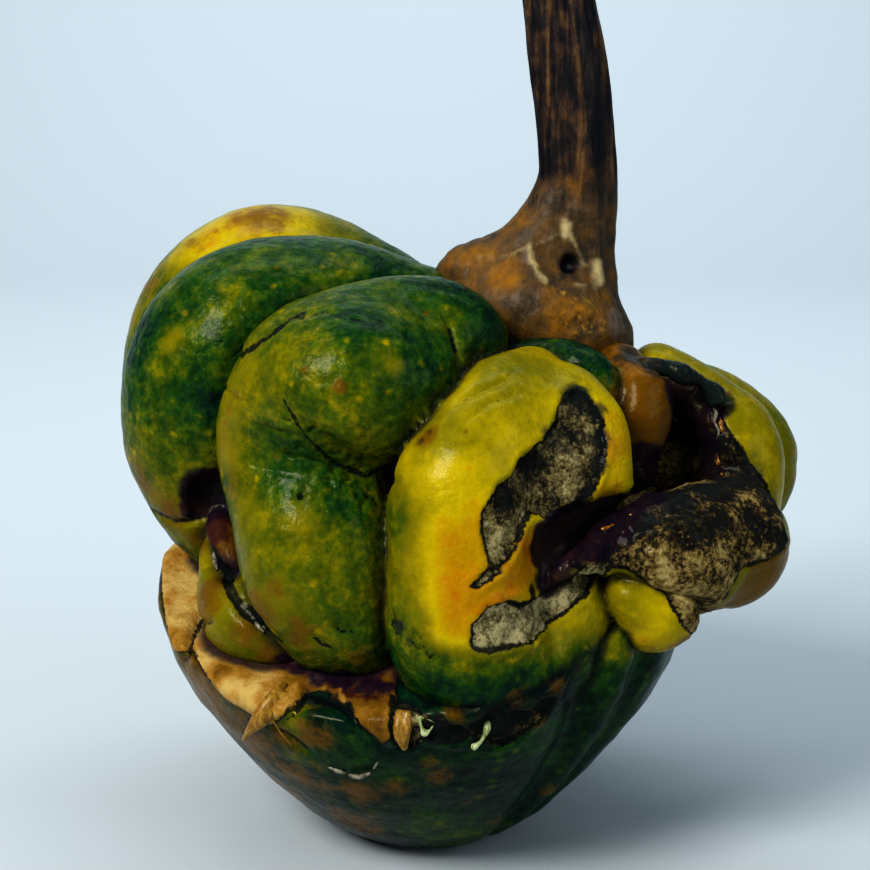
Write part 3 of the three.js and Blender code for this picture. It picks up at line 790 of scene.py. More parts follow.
def relief(points, height, size, seed, sizes):
    """Uneven ground of the given height."""
    return height * fractal(points, size, seed, sizes)


def fruit_mesh(part, field):
    """The smooth mesh of one part of the fruit, finer where there is detail to come."""
    coarse = field.thinned(STRIDE)
    points, quads = coarse.mesh()
    points = relax(points, quads, coarse)
    depths = [zones(points, CORK, part)[0], zones(points, FLESH, part)[0], cracks(points)[0]]
    detailed = np.max(depths, axis=0) > -NEAR_EDGE
    detailed |= np.abs(wrinkles(points)) > DEEP_PLEAT
    detailed |= spread(points, SOOT) > THICK_SOOT
    points, faces = refine(points, quads, detailed[quads].any(1))
    for _ in range(2):
        points = settle(points, field)
    return points, faces


def nearest_folds(points, neighbour, fold_names):
    """The distance from points to each fold and to the nearest, the gap to the next one, and the ripeness."""
    beside = np.abs(neighbour.sample(points))
    if len(fold_names) == 1:
        return [beside], beside, beside, ripeness(points, fold_names[0])
    reach = [group_distance(points, CORE if name == "core" else FOLDS[name]) for name in fold_names]
    nearest, second = np.sort(reach, axis=0)[:2]
    weights = [np.exp(-(far - nearest) / FOLD_BLEND) for far in reach]
    ripe = sum(w * ripeness(points, name) for w, name in zip(weights, fold_names)) / sum(weights)
    return reach, nearest, np.minimum(second - nearest, beside), ripe


def fruit_skin(part, field, neighbour, fold_names):
    """The mesh of one part of the fruit, with relief on it, and the measures that its colours need."""
    points, faces = fruit_mesh(part, field)
    reach, nearest, gap, ripe = nearest_folds(points, neighbour, fold_names)
    cork, cork_tone, cork_lift = zones(points, CORK, part)
    flesh, flesh_tone, flesh_lift = zones(points, FLESH, part)
    for name, far in zip(fold_names, reach):
        if name in BARE_FOLDS:
            # Its flesh begins at the middle of its creases.
            bare = np.where(far <= nearest, np.minimum(gap, 2), np.maximum(nearest - far, AWAY))
            flesh_tone = np.where(bare > flesh, BARE_FOLDS[name], flesh_tone)
            flesh = np.maximum(flesh, bare)
    split, deep = cracks(points)
    # How far inside the purple-black balls: painted shade in the hollows, with rot.
    rot = balls_depth(points, ROT_AND_SHADE)
    soot = spread(points, SOOT)
    measures = {
        "ripe": ripe, "gap": gap, "cork": cork, "flesh": flesh, "rot": rot, "crack": split, "soot": soot,
        "tone": np.where(flesh > cork, flesh_tone + spread(points, STAINS), cork_tone),
        "rust": spread(points, RUST), "grain": np.full(len(points), PORES[part]),
    }
    height = sum(relief(points, *ground) for ground in SKIN_RELIEF)
    height += cork_lift + flesh_lift - deep + wrinkles(points)
    height += CORK_LIP * np.exp(-((cork + 0.7) / 0.6) ** 2) * (cork > AWAY / 2)
    height += ease(cork, -0.1, 0.8) * relief(points, *CORK_RELIEF)
    height += ease(flesh, -0.1, 1.2) * relief(points, *FLESH_RELIEF)
    height += ease(rot, -0.5, 2) * relief(points, *ROT_RELIEF)
    height += ease(soot, 0.7, 1.1) * relief(points, *SOOT_RELIEF)
    return points + height[:, None] * field.gradient(points), faces, measures


def wrinkles(points):
    """Fine, uneven pleats that fan out from the lower side of the fist's crease."""
    _, _, line = CRACKS["fist_crease"]
    off, along = line_distance(points, line)
    (x0, z0), (x1, z1) = line[0], line[-1]
    below = (z1 - z0) / (x1 - x0) * (points[:, 0] - x0) + z0 - points[:, 2]
    pleats = np.abs(np.sin(np.pi * (along * PLEATS + 0.07 * off + 1.1 * noise(points, 3.5, 61))))
    strength = ease(noise(points, 3.5, 63), -0.7, 0.3) * np.exp(-(off / (3 + 2.5 * along)) ** 2)
    strength *= ease(below, 0.2, 1.5) * ease(off, 0.3, 1.2) * ease(along, 1, 0.85)
    return -PLEAT_DEPTH * (1 - pleats) ** 2 * strength


def new_piece(name, points, faces, measures, material, slot, *nodes):
    """A closed, smooth-shaded mesh, which stands for the given CAD nodes. Its slot argument is not used."""
    mesh = bpy.data.meshes.new(name)
    sides = np.concatenate([np.full(len(group), group.shape[1]) for group in faces])
    loops = np.concatenate([group.ravel() for group in faces])
    mesh.vertices.add(len(points))
    mesh.vertices.foreach_set("co", (points * MM).astype(np.float32).ravel())
    mesh.loops.add(len(loops))
    mesh.loops.foreach_set("vertex_index", loops.astype(np.int32))
    mesh.polygons.add(len(sides))
    mesh.polygons.foreach_set("loop_start", (np.cumsum(sides) - sides).astype(np.int32))
    mesh.update(calc_edges=True)
    mesh.validate()
    mesh.shade_smooth()
    for measure, values in measures.items():
        layer = mesh.attributes.new(measure, "FLOAT", "POINT")
        layer.data.foreach_set("value", values.astype(np.float32))
    mesh.materials.append(material)
    piece = bpy.data.objects.new(name, mesh)
    bpy.context.scene.collection.objects.link(piece)
    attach(piece, "root")
    if nodes:
        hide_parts(*nodes)


# ---------------------------------------------------------------- the stem

def stem_field():
    """The stalk melted into its foot, and cut off at the top."""
    stem = Field.box(*STEM_BOX, STEM_GRID)
    stem.add_chain(STEM)
    for balls in FOOT:
        part = stem.blank()
        part.add_chain(balls)
        stem.join(part, STEM_MELT)
    above = stem.blank()
    above.value[...] = STEM_TOP - stem.axes[2]
    stem.cut(above, STEM_TOP_ROUNDING)
    return stem


# Pale marks on the front of the foot, as half width and line, as X and Z. A ball that hollows out a knot
# hole. Patches of lumps with yellow flecks, of grey web and of orange: X, Y, Z, reach and how much.
CREAM = [
    (0.8, [(24, 110.6), (23.8, 109.2)]),
    (0.3, [(24.1, 110.4), (25, 108.6)]),
    (-0.25, [(22.8, 109.4), (20.2, 108), (16.9, 106.9), (14.2, 105.6)]),
    (0.2, [(17.6, 107), (17.9, 104.8), (18.8, 103), (20.2, 102)]),
    (-0.1, [(25.2, 108.4), (26.4, 105.8), (27.4, 103.8)]),
    (0.7, [(29.5, 103.8), (29.7, 102.2), (29.9, 100.8)]),
    (-0.4, [(8, 105.2), (12, 105.4), (14.2, 105.6)]),
    (-0.1, [(25.8, 101), (27.4, 100.7)]),
]
CREAM_HEIGHT = 0.3
KNOT_HOLE = (24.6, 1.7, 104.1, 1.5)
KNOT_DEPTH = 1.8
# Uneven ground, in the same way as the fruit's: of the stalk, of its foot and of the lumps.
BARK_RELIEF = (0.42, 2.6, 83, 3)
FOOT_RELIEF = (0.25, 5, 87, 3)
LUMP_RELIEF = (0.7, 2.6, 91, 3)
FOOT_HEIGHTS = (128, 103)  # where the stalk starts to turn into its foot, and where it is all foot
LUMPS = [(26, -4, 96, 4.5, 1), (29, -3, 93, 3.5, 0.9), (24, -4, 99, 3, 0.8)]
WEB = [
    (33, -1, 94, 3.5, 1), (34, 1, 98, 3, 0.7), (17, -3, 99, 4, 0.6), (12, -2, 98.5, 4, 0.5),
    (17, 0, 106.5, 3, 0.75), (21, 1.5, 108.5, 3, 0.7), (26, 2, 113, 4, 0.5),
]
ORANGE = [(7.5, 0, 103.6, 2.6, 1), (11.2, -1, 103.2, 2.8, 1), (15, -2, 102.6, 2.6, 1), (10, 2, 106.5, 3, 0.7)]


def stem_skin(field):
    """The stem's mesh, ribbed along its length, with its measures."""
    points, quads = field.mesh()
    points = relax(points, quads, field)
    line = spline(STEM, 1)
    nearest = np.abs(points[:, 2:] - line[None, :, 2]).argmin(1)
    x, y = (points[:, :2] - line[nearest, :2]).T
    angle, height = np.arctan2(y, x), points[:, 2]
    foot = ease(height, *FOOT_HEIGHTS)
    # The ribs wander a little, and turn slowly on the way up. The bark's relief is drawn out along the stem.
    turn = angle + 0.004 * (height - 120) + 0.25 * noise(points, 40, 81)
    ribs = STEM_RIB_HEIGHT * np.abs(np.cos(STEM_RIBS / 2 * turn)) * (1 - 0.5 * foot)
    around = np.stack([7 * np.cos(angle), 7 * np.sin(angle), height / 7], 1)
    side = ease(np.hypot(x, y), 1, 5)  # 0 at the middle of the cut top, which has no ribs
    rise = side * (ribs + relief(around, *BARK_RELIEF)) + foot * relief(points, *FOOT_RELIEF)
    lumps = spread(points, LUMPS)
    rise += lumps * relief(points, *LUMP_RELIEF)
    cream = np.max([width - line_distance(points, line, 6)[0] for width, line in CREAM], axis=0)
    rise += CREAM_HEIGHT * ease(cream, -1.2, 0.4)
    hole = balls_depth(points, [KNOT_HOLE])
    rise -= KNOT_DEPTH * ease(hole, -0.6, 1.2)
    measures = {
        "foot": foot, "cream": cream, "hole": hole, "turn": turn,
        "rib": np.abs(np.cos(STEM_RIBS / 2 * turn)), "lumps": lumps, "web": spread(points, WEB),
        "orange": spread(points, ORANGE),
    }
    return points + (rise - STEM_INSET)[:, None] * field.gradient(points), [quads], measures


# ---------------------------------------------------------------- small loose pieces

# A torn strand and a chip of flesh, pale fibres and a sliver in the black gaps, a scab, papery flakes and
# the frayed rim of the cavity: the material of each, and its chains of balls.
LOOSE = {
    "strand": ("torn_flesh", [
        [[-24.2, -35.2, 39.7, 0.7], [-26, -37.6, 37.9, 1.1], [-27.8, -38.5, 35.6, 1.1],
         [-29.3, -37.9, 33.2, 0.75], [-30.7, -36.6, 30.6, 0.3]],
        [[-22.4, -35.8, 39, 0.6], [-24.8, -37.9, 37.2, 0.9], [-26.8, -38.5, 35, 0.9],
         [-28.7, -38, 33.2, 0.6]],
        [[-25.6, -38.4, 34.8, 0.2], [-24.4, -38.5, 32.6, 0.13], [-22.6, -38.6, 30.4, 0.1]],
    ]),
    "chip": ("torn_flesh", [
        [[-4.7, -44.3, 38.3, 0.7], [-4.9, -45.4, 36.6, 0.9], [-4.7, -45.3, 34.5, 0.8],
         [-4, -44.8, 32.7, 0.4]],
        [[-3.4, -44.6, 38.4, 0.6], [-3.5, -45.5, 36.6, 0.8], [-3.7, -45.3, 34.6, 0.7],
         [-3.9, -44.9, 32.8, 0.3]],
    ]),
    "fibres": ("fibre", [
        [[-1.6, -45.6, 38, 0.3], [-1.2, -46, 36.8, 0.25], [-0.7, -45.8, 35.6, 0.45]],
        [[-0.7, -45.8, 35.6, 0.35], [-0.1, -46, 35.8, 0.2], [0.6, -45.6, 36.6, 0.2]],
        [[-1, -45.4, 38.2, 0.13], [0.1, -46, 37.9, 0.14], [1.1, -45.6, 37.3, 0.13]],
        [[2.2, -45.2, 38.7, 0.16], [3, -45.8, 37.9, 0.25], [4.1, -45.2, 38.6, 0.16]],
        [[3.4, -45.4, 37.2, 0.35], [4, -45.4, 37.3, 0.3]],
    ]),
    "sliver": ("fibre", [
        [[9.4, -43.6, 37, 0.4], [9.4, -44.6, 36, 0.65], [9, -44.8, 34.8, 0.35], [8.3, -44.4, 33.4, 0.3],
         [7.4, -43.8, 32.4, 0.6]],
    ]),
    "scab": ("paper", [
        [[-17, -37.1, 26.2, 0.2], [-15.2, -37.9, 25.6, 0.4], [-14, -38.4, 25.4, 0.2]],
        [[-13, -38.9, 25.2, 0.3], [-11.4, -39.7, 25.3, 0.45], [-9.8, -40.4, 26.2, 0.25]],
        [[-9, -41, 27.4, 0.2], [-8.2, -41.8, 29.2, 0.2]],
    ]),
    "flakes": ("paper", [
        [[-37.2, -16.6, 56.8, 0.2], [-36.8, -17.8, 55.4, 0.5], [-36.4, -18.6, 54.4, 0.2]],
        [[-32.6, -24, 52.4, 0.3], [-31.4, -25.4, 51.2, 0.8], [-30.2, -26.4, 50, 0.4]],
        [[-29.6, -28.2, 48.6, 0.3], [-28.6, -29.4, 48, 0.4], [-27.6, -30.2, 47.2, 0.2]],
    ]),
    "rim": ("paper", [
        [[49.8, -5.3, 79.8, 0.2], [50.3, -5.5, 78.6, 0.4], [50, -5.6, 77.2, 0.2], [50.8, -6, 75.8, 0.3],
         [50.4, -6.4, 74.4, 0.12]],
    ]),
}
# Drops of sap, set on the skin nearest to here: X, Y, Z and radius.
SAP = [
    (28, -32.5, 67, 0.4), (28.8, -33, 67.6, 0.3), (29.6, -33, 67.9, 0.35), (33, -31, 68, 0.3),
    (41, -30.5, 69, 0.4), (42.2, -30, 69.2, 0.3), (43.4, -30, 69, 0.42), (45, -29, 69, 0.25),
    (51.5, -4.5, 76.5, 0.5), (51.8, -4.8, 75.4, 0.3), (50.8, -5, 78, 0.3), (50.5, -7.5, 70.5, 0.45),
    (50.8, -7, 71.6, 0.3), (50.6, -9, 69, 0.35), (48.5, -19, 70, 0.3),
]
LOOSE_STEP = 0.15  # of the grid that they are worked out on
LOOSE_MELT = 0.9
LOOSE_ROUGHNESS = 0.03


def loose_piece(name, chains, material, roughness=LOOSE_ROUGHNESS):
    """A small closed piece made of chains of balls, a little uneven."""
    balls = np.concatenate([spline(chain) for chain in chains])
    reach = balls[:, 3:] + 4 * LOOSE_STEP
    field = Field.box((balls[:, :3] - reach).min(0), (balls[:, :3] + reach).max(0), LOOSE_STEP)
    for chain in chains:
        part = field.blank()
        part.add_chain(chain)
        field.join(part, LOOSE_MELT)
    points, quads = field.mesh()
    points = relax(points, quads, field, rounds=2)
    points = points + roughness * noise(points, 0.9, 95)[:, None] * field.gradient(points)
    new_piece(name, points, [quads], {}, material, "skin")


def sap_drops(skin_field):
    """The drops as chains of one short link each, half sunk in the skin."""
    drops = np.array(SAP)
    for _ in range(6):
        drops[:, :3] = settle(drops[:, :3], skin_field)
    return [[list(drop), [*drop[:2], drop[2] - 0.5 * drop[3], drop[3]]] for drop in drops]


# ---------------------------------------------------------------- materials

class Graph:
    """A material's nodes. Each call adds a node and gives back its output."""

    def __init__(self, name, **finish):
        self.material = bpy.data.materials.new(name)
        self.material.use_nodes = True
        self.tree = self.material.node_tree
        self.shader = self.tree.nodes["Principled BSDF"]
        for socket, value in finish.items():
            self.set(self.shader, socket.replace("_", " "), value)
        place = self.tree.nodes.new("ShaderNodeTexCoord").outputs["Object"]
        scale = self.tree.nodes.new("ShaderNodeVectorMath")
        scale.operation = "SCALE"
        self.tree.links.new(place, scale.inputs[0])
        scale.inputs["Scale"].default_value = 1 / MM
        self.place = scale.outputs[0]

    def set(self, node, socket, value):
        """Puts a number, a colour or another node's output on a socket."""
        target = node.inputs[socket]
        if isinstance(value, bpy.types.NodeSocket):
            self.tree.links.new(value, target)
        elif isinstance(value, tuple) and len(target.default_value) == 4:
            target.default_value = (*value, 1)
        else:
            target.default_value = value

    def node(self, kind, sockets, output=0, **settings):
        """A node with its settings and sockets filled in."""
        node = self.tree.nodes.new("ShaderNode" + kind)
        for name, value in settings.items():
            setattr(node, name, value)
        for socket, value in sockets.items():
            self.set(node, socket, value)
        return node.outputs[output]

    def measure(self, name):
        """A number that each vertex carries."""
        return self.node("Attribute", {}, output="Fac", attribute_name=name)

    def math(self, operation, a, b=0.0):
        return self.node("Math", {0: a, 1: b}, operation=operation)

    def add(self, *values):
        total = values[0]
        for value in values[1:]:
            total = self.math("ADD", total, value)
        return total

    def times(self, a, b):
        return self.math("MULTIPLY", a, b)

    def swing(self, noise, amount):
        """Noise made to swing about 0, times an amount."""
        return self.times(self.add(noise, -0.5), amount)

    def ease(self, value, low, high, start=0.0, end=1.0):
        """From start to end as the value goes from low to high."""
        return self.node("MapRange", {"Value": value, "From Min": low, "From Max": high, "To Min": start,
                                      "To Max": end}, interpolation_type="SMOOTHSTEP")

    def noise(self, size, detail=2.0, rough=0.5, place=None, warp=0.0):
        """Noise of lumps about size mm across, near 0.5."""
        return self.node("TexNoise", {"Vector": place or self.place, "Scale": 1 / size, "Detail": detail,
                                      "Roughness": rough, "Distortion": warp})

    def cells(self, size, **settings):
        """The distance to the nearest of scattered points about size mm apart, in those units."""
        return self.node("TexVoronoi", {"Vector": self.place, "Scale": 1 / size}, **settings)

    def stretched(self, x, y, z):
        """The place with each axis scaled."""
        return self.node("VectorMath", {0: self.place, 1: (x, y, z)}, operation="MULTIPLY")

    def ramp(self, value, *stops):
        """The colour at a value, between stops of place and colour."""
        node = self.tree.nodes.new("ShaderNodeValToRGB")
        elements = node.color_ramp.elements
        for place, _ in stops[2:]:
            elements.new(place)
        for element, (place, colour) in zip(elements, stops):
            element.position = place
            element.color = (*colour, 1)
        self.tree.links.new(value, node.inputs["Fac"])
        return node.outputs["Color"]

    def mix(self, share, a, b, blend="MIX"):
        """Colour a turning into colour b."""
        return self.node("Mix", {0: share, 6: a, 7: b}, output=2, data_type="RGBA", blend_type=blend)

    def finish(self, colour, roughness, height=None):
        """Sets the colour, the roughness and the bump, whose height is in mm."""
        self.set(self.shader, "Base Color", colour)
        self.set(self.shader, "Roughness", roughness)
        if height is not None:
            bump = self.node("Bump", {"Height": height, "Distance": MM}, output="Normal")
            self.set(self.shader, "Normal", bump)
        return self.material


RIPE_COLOURS = (
    (0.00, (0.0008, 0.009, 0.009)),
    (0.14, (0.0020, 0.024, 0.012)),
    (0.30, (0.014, 0.054, 0.006)),
    (0.45, (0.060, 0.085, 0.003)),
    (0.60, (0.170, 0.143, 0.001)),
    (0.74, (0.385, 0.290, 0.001)),
    (0.88, (0.345, 0.140, 0.001)),
    (1.00, (0.075, 0.037, 0.003)),
)
# Flesh from its palest to its darkest, and the grains of cork from dark to pale, where it is grey and tan.
FLESH_COLOURS = (
    (0.00, (0.42, 0.29, 0.095)),
    (0.30, (0.30, 0.16, 0.03)),
    (0.60, (0.17, 0.085, 0.006)),
    (1.00, (0.045, 0.012, 0.008)),
)
GREY_CORK = (
    (0.31, (0.008, 0.016, 0.014)),
    (0.42, (0.031, 0.056, 0.046)),
    (0.52, (0.108, 0.130, 0.084)),
    (0.64, (0.52, 0.48, 0.30)),
)
TAN_CORK = (
    (0.22, (0.010, 0.008, 0.009)),
    (0.31, (0.085, 0.052, 0.018)),
    (0.40, (0.27, 0.175, 0.05)),
    (0.55, (0.47, 0.35, 0.13)),
)
WOOD_COLOURS = (
    (0.32, (0.003, 0.003, 0.006)),
    (0.46, (0.013, 0.009, 0.010)),
    (0.58, (0.045, 0.024, 0.014)),
    (0.80, (0.15, 0.08, 0.025)),
)
FOOT_COLOURS = (
    (0.30, (0.030, 0.020, 0.012)),
    (0.43, (0.070, 0.042, 0.016)),
    (0.57, (0.120, 0.060, 0.011)),
    (0.76, (0.24, 0.105, 0.002)),
)
SAP_COLOURS = ((0.35, (0.10, 0.030, 0.001)), (0.65, (0.30, 0.135, 0.004)))
# The dull and the bright colour of each small piece's material.
TORN_COLOURS = {
    "torn_flesh": ((0.15, 0.070, 0.004), (0.34, 0.20, 0.03)),
    "fibre": ((0.16, 0.19, 0.04), (0.52, 0.55, 0.34)),
    "paper": ((0.05, 0.045, 0.03), (0.27, 0.25, 0.18)),
}
BLACK = (0.003, 0.006, 0.008)
SOOT_BLACK = (0.013, 0.017, 0.018)
SPOT_BROWN = (0.12, 0.05, 0.004)
RUST_BROWN = (0.118, 0.053, 0.003)
# The purple-black of the rot, also used for painted shade.
ROT_AND_SHADE_BLACK = (0.010, 0.004, 0.017)
ROT_RED = (0.030, 0.011, 0.015)
WEB_GREY = (0.13, 0.10, 0.08)
FLECK_YELLOW = (0.36, 0.20, 0.01)
MARK_CREAM = (0.52, 0.42, 0.21)
HOLE_SHADE_BLACK = (0.005, 0.005, 0.010)
WALL_GREY = (0.44, 0.48, 0.505)
SKY_BLUE = (0.70, 0.82, 0.92, 1)


def whole_skin(g, gap, blotch, mottle, fine):
    """The colour of whole skin, and how green it is: blotches, fine mottling, yellow flecks, and painted
    shade in the creases.
    """
    ripe, specks = g.measure("ripe"), g.noise(1.5, 2, 0.7)
    green = g.ease(ripe, 0.62, 0.4, 0.2, 1)
    flecks = g.ease(g.add(g.cells(2.9), g.swing(fine, 0.3)), 0.36, 0.12)
    flecks = g.times(g.times(flecks, g.ease(g.noise(6), 0.5, 0.6)), green)
    grainy = g.times(g.add(g.swing(specks, 0.42), g.swing(mottle, 0.34)), green)
    patchy = g.times(g.swing(blotch, 0.42), g.math("MAXIMUM", green, 0.6))
    colour = g.ramp(g.add(ripe, patchy, grainy, g.times(flecks, 0.22)), *RIPE_COLOURS)
    rust = g.add(g.measure("rust"), g.swing(mottle, 1.1), g.swing(fine, 0.4))
    colour = g.mix(g.times(g.ease(rust, 0.2, 0.75), 0.85), colour, RUST_BROWN)
    lighter = g.ease(g.add(mottle, g.swing(fine, 0.6)), 0.3, 0.7, -0.24, 0.22)
    light = g.add(g.times(lighter, green), 1)
    colour = g.mix(1.0, colour, g.node("CombineColor", {0: light, 1: light, 2: light}), "MULTIPLY")
    spots = g.ease(g.add(g.cells(11), g.times(fine, 0.12)), 0.13, 0.09)
    colour = g.mix(g.times(spots, 0.6), colour, SPOT_BROWN)
    # Painted shade: the skin darkens towards black where two folds, or the crown and the cup, meet in a
    # crease.
    crease_shade = g.ease(g.add(gap, g.swing(mottle, 1.2)), 1.8, 0.1)
    return g.mix(g.times(crease_shade, 0.85), colour, BLACK), green


def with_flesh(g, colour, ragged, gap, blotch, mottle):
    """The colour with bare flesh on it, dark at its edge and with painted shade deep in the creases, and
    where the flesh is.
    """
    flesh = g.add(g.measure("flesh"), ragged)
    in_flesh = g.ease(flesh, -0.05, 0.1)
    warmth = g.add(g.measure("tone"), g.swing(mottle, 1.3), g.swing(blotch, 1.0))
    colour = g.mix(in_flesh, colour, g.ramp(warmth, *FLESH_COLOURS))
    edge = g.ease(g.math("ABSOLUTE", flesh), 0.32, 0.12)
    colour = g.mix(g.times(edge, 0.8), colour, BLACK)
    # Painted shade: flesh tucked deep into a crease darkens to purple-black.
    tucked_in_shade = g.times(g.ease(g.add(gap, g.swing(mottle, 3)), 3.0, 0.8), in_flesh)
    return g.mix(g.times(tucked_in_shade, 0.9), colour, ROT_AND_SHADE_BLACK), in_flesh


def with_cork(g, colour, ragged, soot):
    """The colour with cork and its black outline on it, where the cork is, and its grain."""
    cork, tone = g.add(g.measure("cork"), ragged), g.measure("tone")
    in_cork = g.ease(cork, -0.05, 0.1)
    grain = g.add(0.5, g.swing(g.noise(0.9, 6, 0.8), 1.4), g.swing(g.noise(4.5, 3), 0.9),
                  g.times(soot, -0.33), g.swing(tone, -0.3))
    colour = g.mix(in_cork, colour, g.mix(tone, g.ramp(grain, *GREY_CORK), g.ramp(grain, *TAN_CORK)))
    width = g.ease(g.noise(5, 2), 0.35, 0.65, 0.25, 1.3)
    outline = g.times(g.ease(cork, -0.35, 0.05), g.ease(g.math("DIVIDE", cork, width), 1, 0.4))
    return g.mix(g.times(outline, 0.93), colour, BLACK), in_cork, grain


def with_decay(g, colour, soot, mottle, fine):
    """The colour with soot, rot and painted shade in the hollows, and cracks drawn black as painted shade, on
    it.
    """
    burnt = g.ease(g.add(soot, g.swing(g.noise(2.4, 4, 0.65), 0.95)), 0.45, 0.85)
    colour = g.mix(g.times(burnt, 0.82), colour, SOOT_BLACK)
    # Painted shade in the hollows, the pits and under the fist, drawn as purple-black wet rot.
    rot = g.ease(g.add(g.measure("rot"), g.swing(mottle, 2.6)), -0.2, 0.9)
    stain = g.ramp(g.noise(4, 3), (0.45, ROT_AND_SHADE_BLACK), (0.75, ROT_RED))
    colour = g.mix(g.times(rot, 0.95), colour, stain)
    # Painted shade: black down the cracks and creases.
    crack = g.ease(g.add(g.measure("crack"), g.swing(fine, 0.9), g.swing(mottle, 0.7)), -0.12, 0.12)
    return g.mix(g.times(crack, 0.93), colour, BLACK)


def skin_material():
    """Skin, bare flesh, cork, and rot with painted shade in the hollows, in one, drawn from the measures."""
    g = Graph("skin", Coat_Weight=0.055, Coat_Roughness=0.1, Specular_IOR_Level=0.09,
              Specular_Tint=(1, 0.95, 0.5))
    blotch, mottle, fine = g.noise(9, 3, warp=0.6), g.noise(3.2, 3, 0.6), g.noise(0.9, 3, 0.6)
    gap, soot = g.measure("gap"), g.measure("soot")
    ragged = g.add(g.swing(mottle, 1.6), g.swing(fine, 0.9))
    colour, green = whole_skin(g, gap, blotch, mottle, fine)
    colour, in_flesh = with_flesh(g, colour, ragged, gap, blotch, mottle)
    colour, in_cork, grain = with_cork(g, colour, ragged, soot)
    colour = with_decay(g, colour, soot, mottle, fine)

    dull = g.math("MAXIMUM", in_cork, g.times(in_flesh, 0.5))
    roughness = g.add(g.times(dull, 0.45), g.times(fine, 0.14), 0.22)
    bumps = g.ease(g.cells(1.7, feature="SMOOTH_F1"), 0.75, 0.1)
    pores = g.add(g.times(mottle, 0.10), g.times(g.times(bumps, green), 0.2), g.times(g.noise(0.7, 2), 0.14))
    height = g.add(g.times(pores, g.measure("grain")),
                   g.times(g.times(grain, in_cork), 0.55), g.times(g.times(fine, in_flesh), 0.3))
    return g.finish(colour, roughness, height)


def stem_material():
    """Dried wood: dark broken fibres, and at the foot orange-brown with cream, grey and yellow marks."""
    g = Graph("stem_wood", Coat_Weight=0.04, Coat_Roughness=0.3, Specular_IOR_Level=0.2)
    fibres = g.noise(1.4, 5, 0.65, place=g.stretched(1, 1, 0.13), warp=0.4)
    streaks = g.noise(2.8, 2, 0.5, place=g.stretched(1, 1, 0.1), warp=0.6)
    blotch, mottle, fine = g.noise(7, 2), g.noise(2.4, 4, 0.6, warp=0.2), g.noise(0.8, 3)
    foot, web = g.measure("foot"), g.measure("web")
    shade = g.add(g.swing(streaks, 1.1), g.swing(fibres, 0.9), g.swing(mottle, 0.5), g.times(foot, 0.2), 0.46)
    wood = g.ramp(shade, *WOOD_COLOURS)
    shade = g.add(g.swing(blotch, 0.8), g.swing(mottle, 0.55), g.times(g.measure("orange"), 0.2),
                  g.times(web, -0.12), 0.5)
    base = g.ramp(shade, *FOOT_COLOURS)
    grey = g.ease(g.add(web, g.swing(mottle, 1.4)), 0.35, 0.9)
    base = g.mix(g.times(grey, 0.7), base, WEB_GREY)
    flecks = g.times(g.ease(g.noise(1.3, 4, 0.6), 0.5, 0.7), g.ease(g.measure("lumps"), 0.2, 0.8))
    base = g.mix(g.times(flecks, 0.85), base, FLECK_YELLOW)
    colour = g.mix(g.ease(g.add(foot, g.swing(blotch, 0.7)), 0.2, 0.75), wood, base)
    cream = g.ease(g.add(g.measure("cream"), g.swing(mottle, 1.4), g.swing(fine, 0.5)), -0.8, 0.8)
    colour = g.mix(g.times(cream, 0.8), colour, MARK_CREAM)
    # Painted shade: the knot hole is drawn near black.
    hole = g.ease(g.add(g.measure("hole"), g.swing(mottle, 2.4)), -0.9, 0.5)
    colour = g.mix(hole, colour, HOLE_SHADE_BLACK)
    height = g.add(g.times(fibres, 0.5), g.times(fine, 0.1), g.times(g.times(mottle, foot), 0.4))
    return g.finish(colour, g.ease(blotch, 0.3, 0.7, 0.42, 0.65), height)


def torn_material(name):
    """Torn flesh, fibre or papery skin: one colour with paler streaks along it."""
    g = Graph(name, Specular_IOR_Level=0.3)
    dull, bright = TORN_COLOURS[name]
    streaks = g.noise(0.7, 3, 0.6, place=g.stretched(1, 1, 0.35), warp=0.5)
    return g.finish(g.ramp(streaks, (0.36, dull), (0.66, bright)), 0.35, g.times(streaks, 0.05))


def drop_material():
    """Wet amber sap."""
    g = Graph("sap", Specular_IOR_Level=0.6)
    return g.finish(g.ramp(g.noise(0.8), *SAP_COLOURS), 0.1)


# ---------------------------------------------------------------- stage, light and camera, in metres

CAMERA_ELEVATION = math.radians(14)
CAMERA_DISTANCE = 0.350
CAMERA_TARGET = Vector((0.001, 0, 0.0735))
CAMERA_LENS = 81.1
SENSOR_WIDTH = 36
CLIP_START = 0.01
SKY_STRENGTH = 0.25
# Each lamp: place, target, size, power and colour.
LAMPS = {
    "key": ((-0.42, -0.50, 0.62), CAMERA_TARGET, 0.30, 7.0, (1, 0.98, 0.94)),
    "fill": ((0.65, -0.45, 0.40), CAMERA_TARGET, 0.50, 1.6, (0.86, 0.94, 1)),
    "wall_light": ((0, 0.30, 0.90), (0, 1.1, 0.35), 0.80, 8.6, (0.90, 0.96, 1)),
}


def add_facing(data, place, way):
    """Puts a camera or a lamp into the scene, facing a given way."""
    thing = bpy.data.objects.new(data.name, data)
    thing.location = place
    thing.rotation_mode = "QUATERNION"
    thing.rotation_quaternion = way.to_track_quat("-Z", "Y")
    bpy.context.scene.collection.objects.link(thing)
    return thing


def add_camera():
    """The camera, in front of the fruit and a little above it."""
    data = bpy.data.cameras.new("camera")
    data.lens = CAMERA_LENS
    data.sensor_width = SENSOR_WIDTH
    data.clip_start = CLIP_START
    back = Vector((0, -math.cos(CAMERA_ELEVATION), math.sin(CAMERA_ELEVATION)))
    bpy.context.scene.camera = add_facing(data, CAMERA_TARGET + CAMERA_DISTANCE * back, -back)


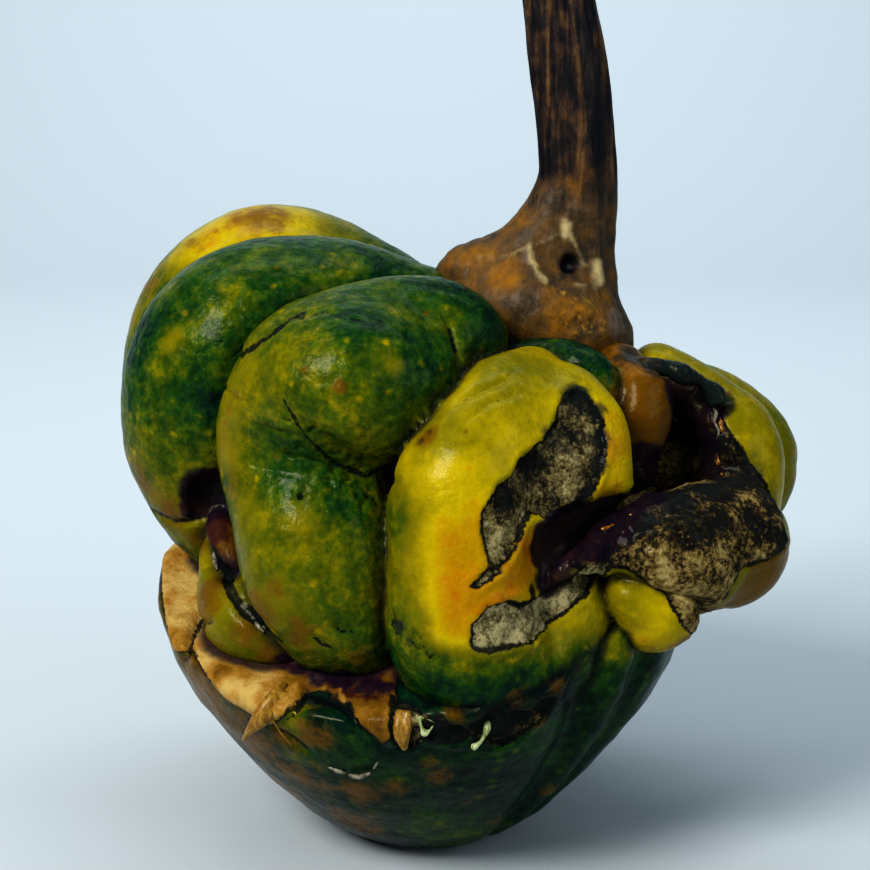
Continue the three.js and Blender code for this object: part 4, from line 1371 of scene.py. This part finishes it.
def add_backdrop():
    """A pale floor that curves up into a wall."""
    floor_start, floor_end, bend, wall_top, half_width = -3.0, 0.6, 0.5, 2.5, 3.0
    profile = [(floor_start, 0.0)]
    for angle in np.linspace(0, math.pi / 2, 17):
        profile.append((floor_end + bend * math.sin(angle), bend - bend * math.cos(angle)))
    profile.append((floor_end + bend, wall_top))
    points = [(x, y, z) for y, z in profile for x in (-half_width, half_width)]
    faces = [(2 * i, 2 * i + 1, 2 * i + 3, 2 * i + 2) for i in range(len(profile) - 1)]
    mesh = bpy.data.meshes.new("backdrop")
    mesh.from_pydata(points, [], faces)
    mesh.shade_smooth()
    g = Graph("backdrop")
    mesh.materials.append(g.finish(WALL_GREY, 0.8))
    backdrop = bpy.data.objects.new("backdrop", mesh)
    bpy.context.scene.collection.objects.link(backdrop)


def add_lamp(name, place, target, size, power, colour):
    """A square soft lamp."""
    data = bpy.data.lights.new(name, "AREA")
    data.size = size
    data.energy = power
    data.color = colour
    add_facing(data, place, Vector(target) - Vector(place))


def add_world():
    """An even bluish light from all round, and how the picture's tones are set."""
    world = bpy.data.worlds.new("world")
    world.use_nodes = True
    sky = world.node_tree.nodes["Background"]
    sky.inputs["Color"].default_value = SKY_BLUE
    sky.inputs["Strength"].default_value = SKY_STRENGTH
    bpy.context.scene.world = world
    bpy.context.scene.view_settings.view_transform = "Standard"
    bpy.context.scene.view_settings.look = "High Contrast"


crown, cup = crown_field(), cup_field()
skin = skin_material()
new_piece("crown", *fruit_skin("crown", crown, cup, ["core", *FOLDS]), skin, "skin", "fruit")
new_piece("cup", *fruit_skin("cup", cup, crown, ["cup"]), skin, "skin", "fruit")
new_piece("stalk", *stem_skin(stem_field()), stem_material(), "stem", "stem")
torn = {name: torn_material(name) for name in TORN_COLOURS}
for name, (kind, chains) in LOOSE.items():
    loose_piece(name, chains, torn[kind])
loose_piece("sap", sap_drops(crown), drop_material(), roughness=0)

add_camera()
add_backdrop()
add_world()
for name, lamp in LAMPS.items():
    add_lamp(name, *lamp)
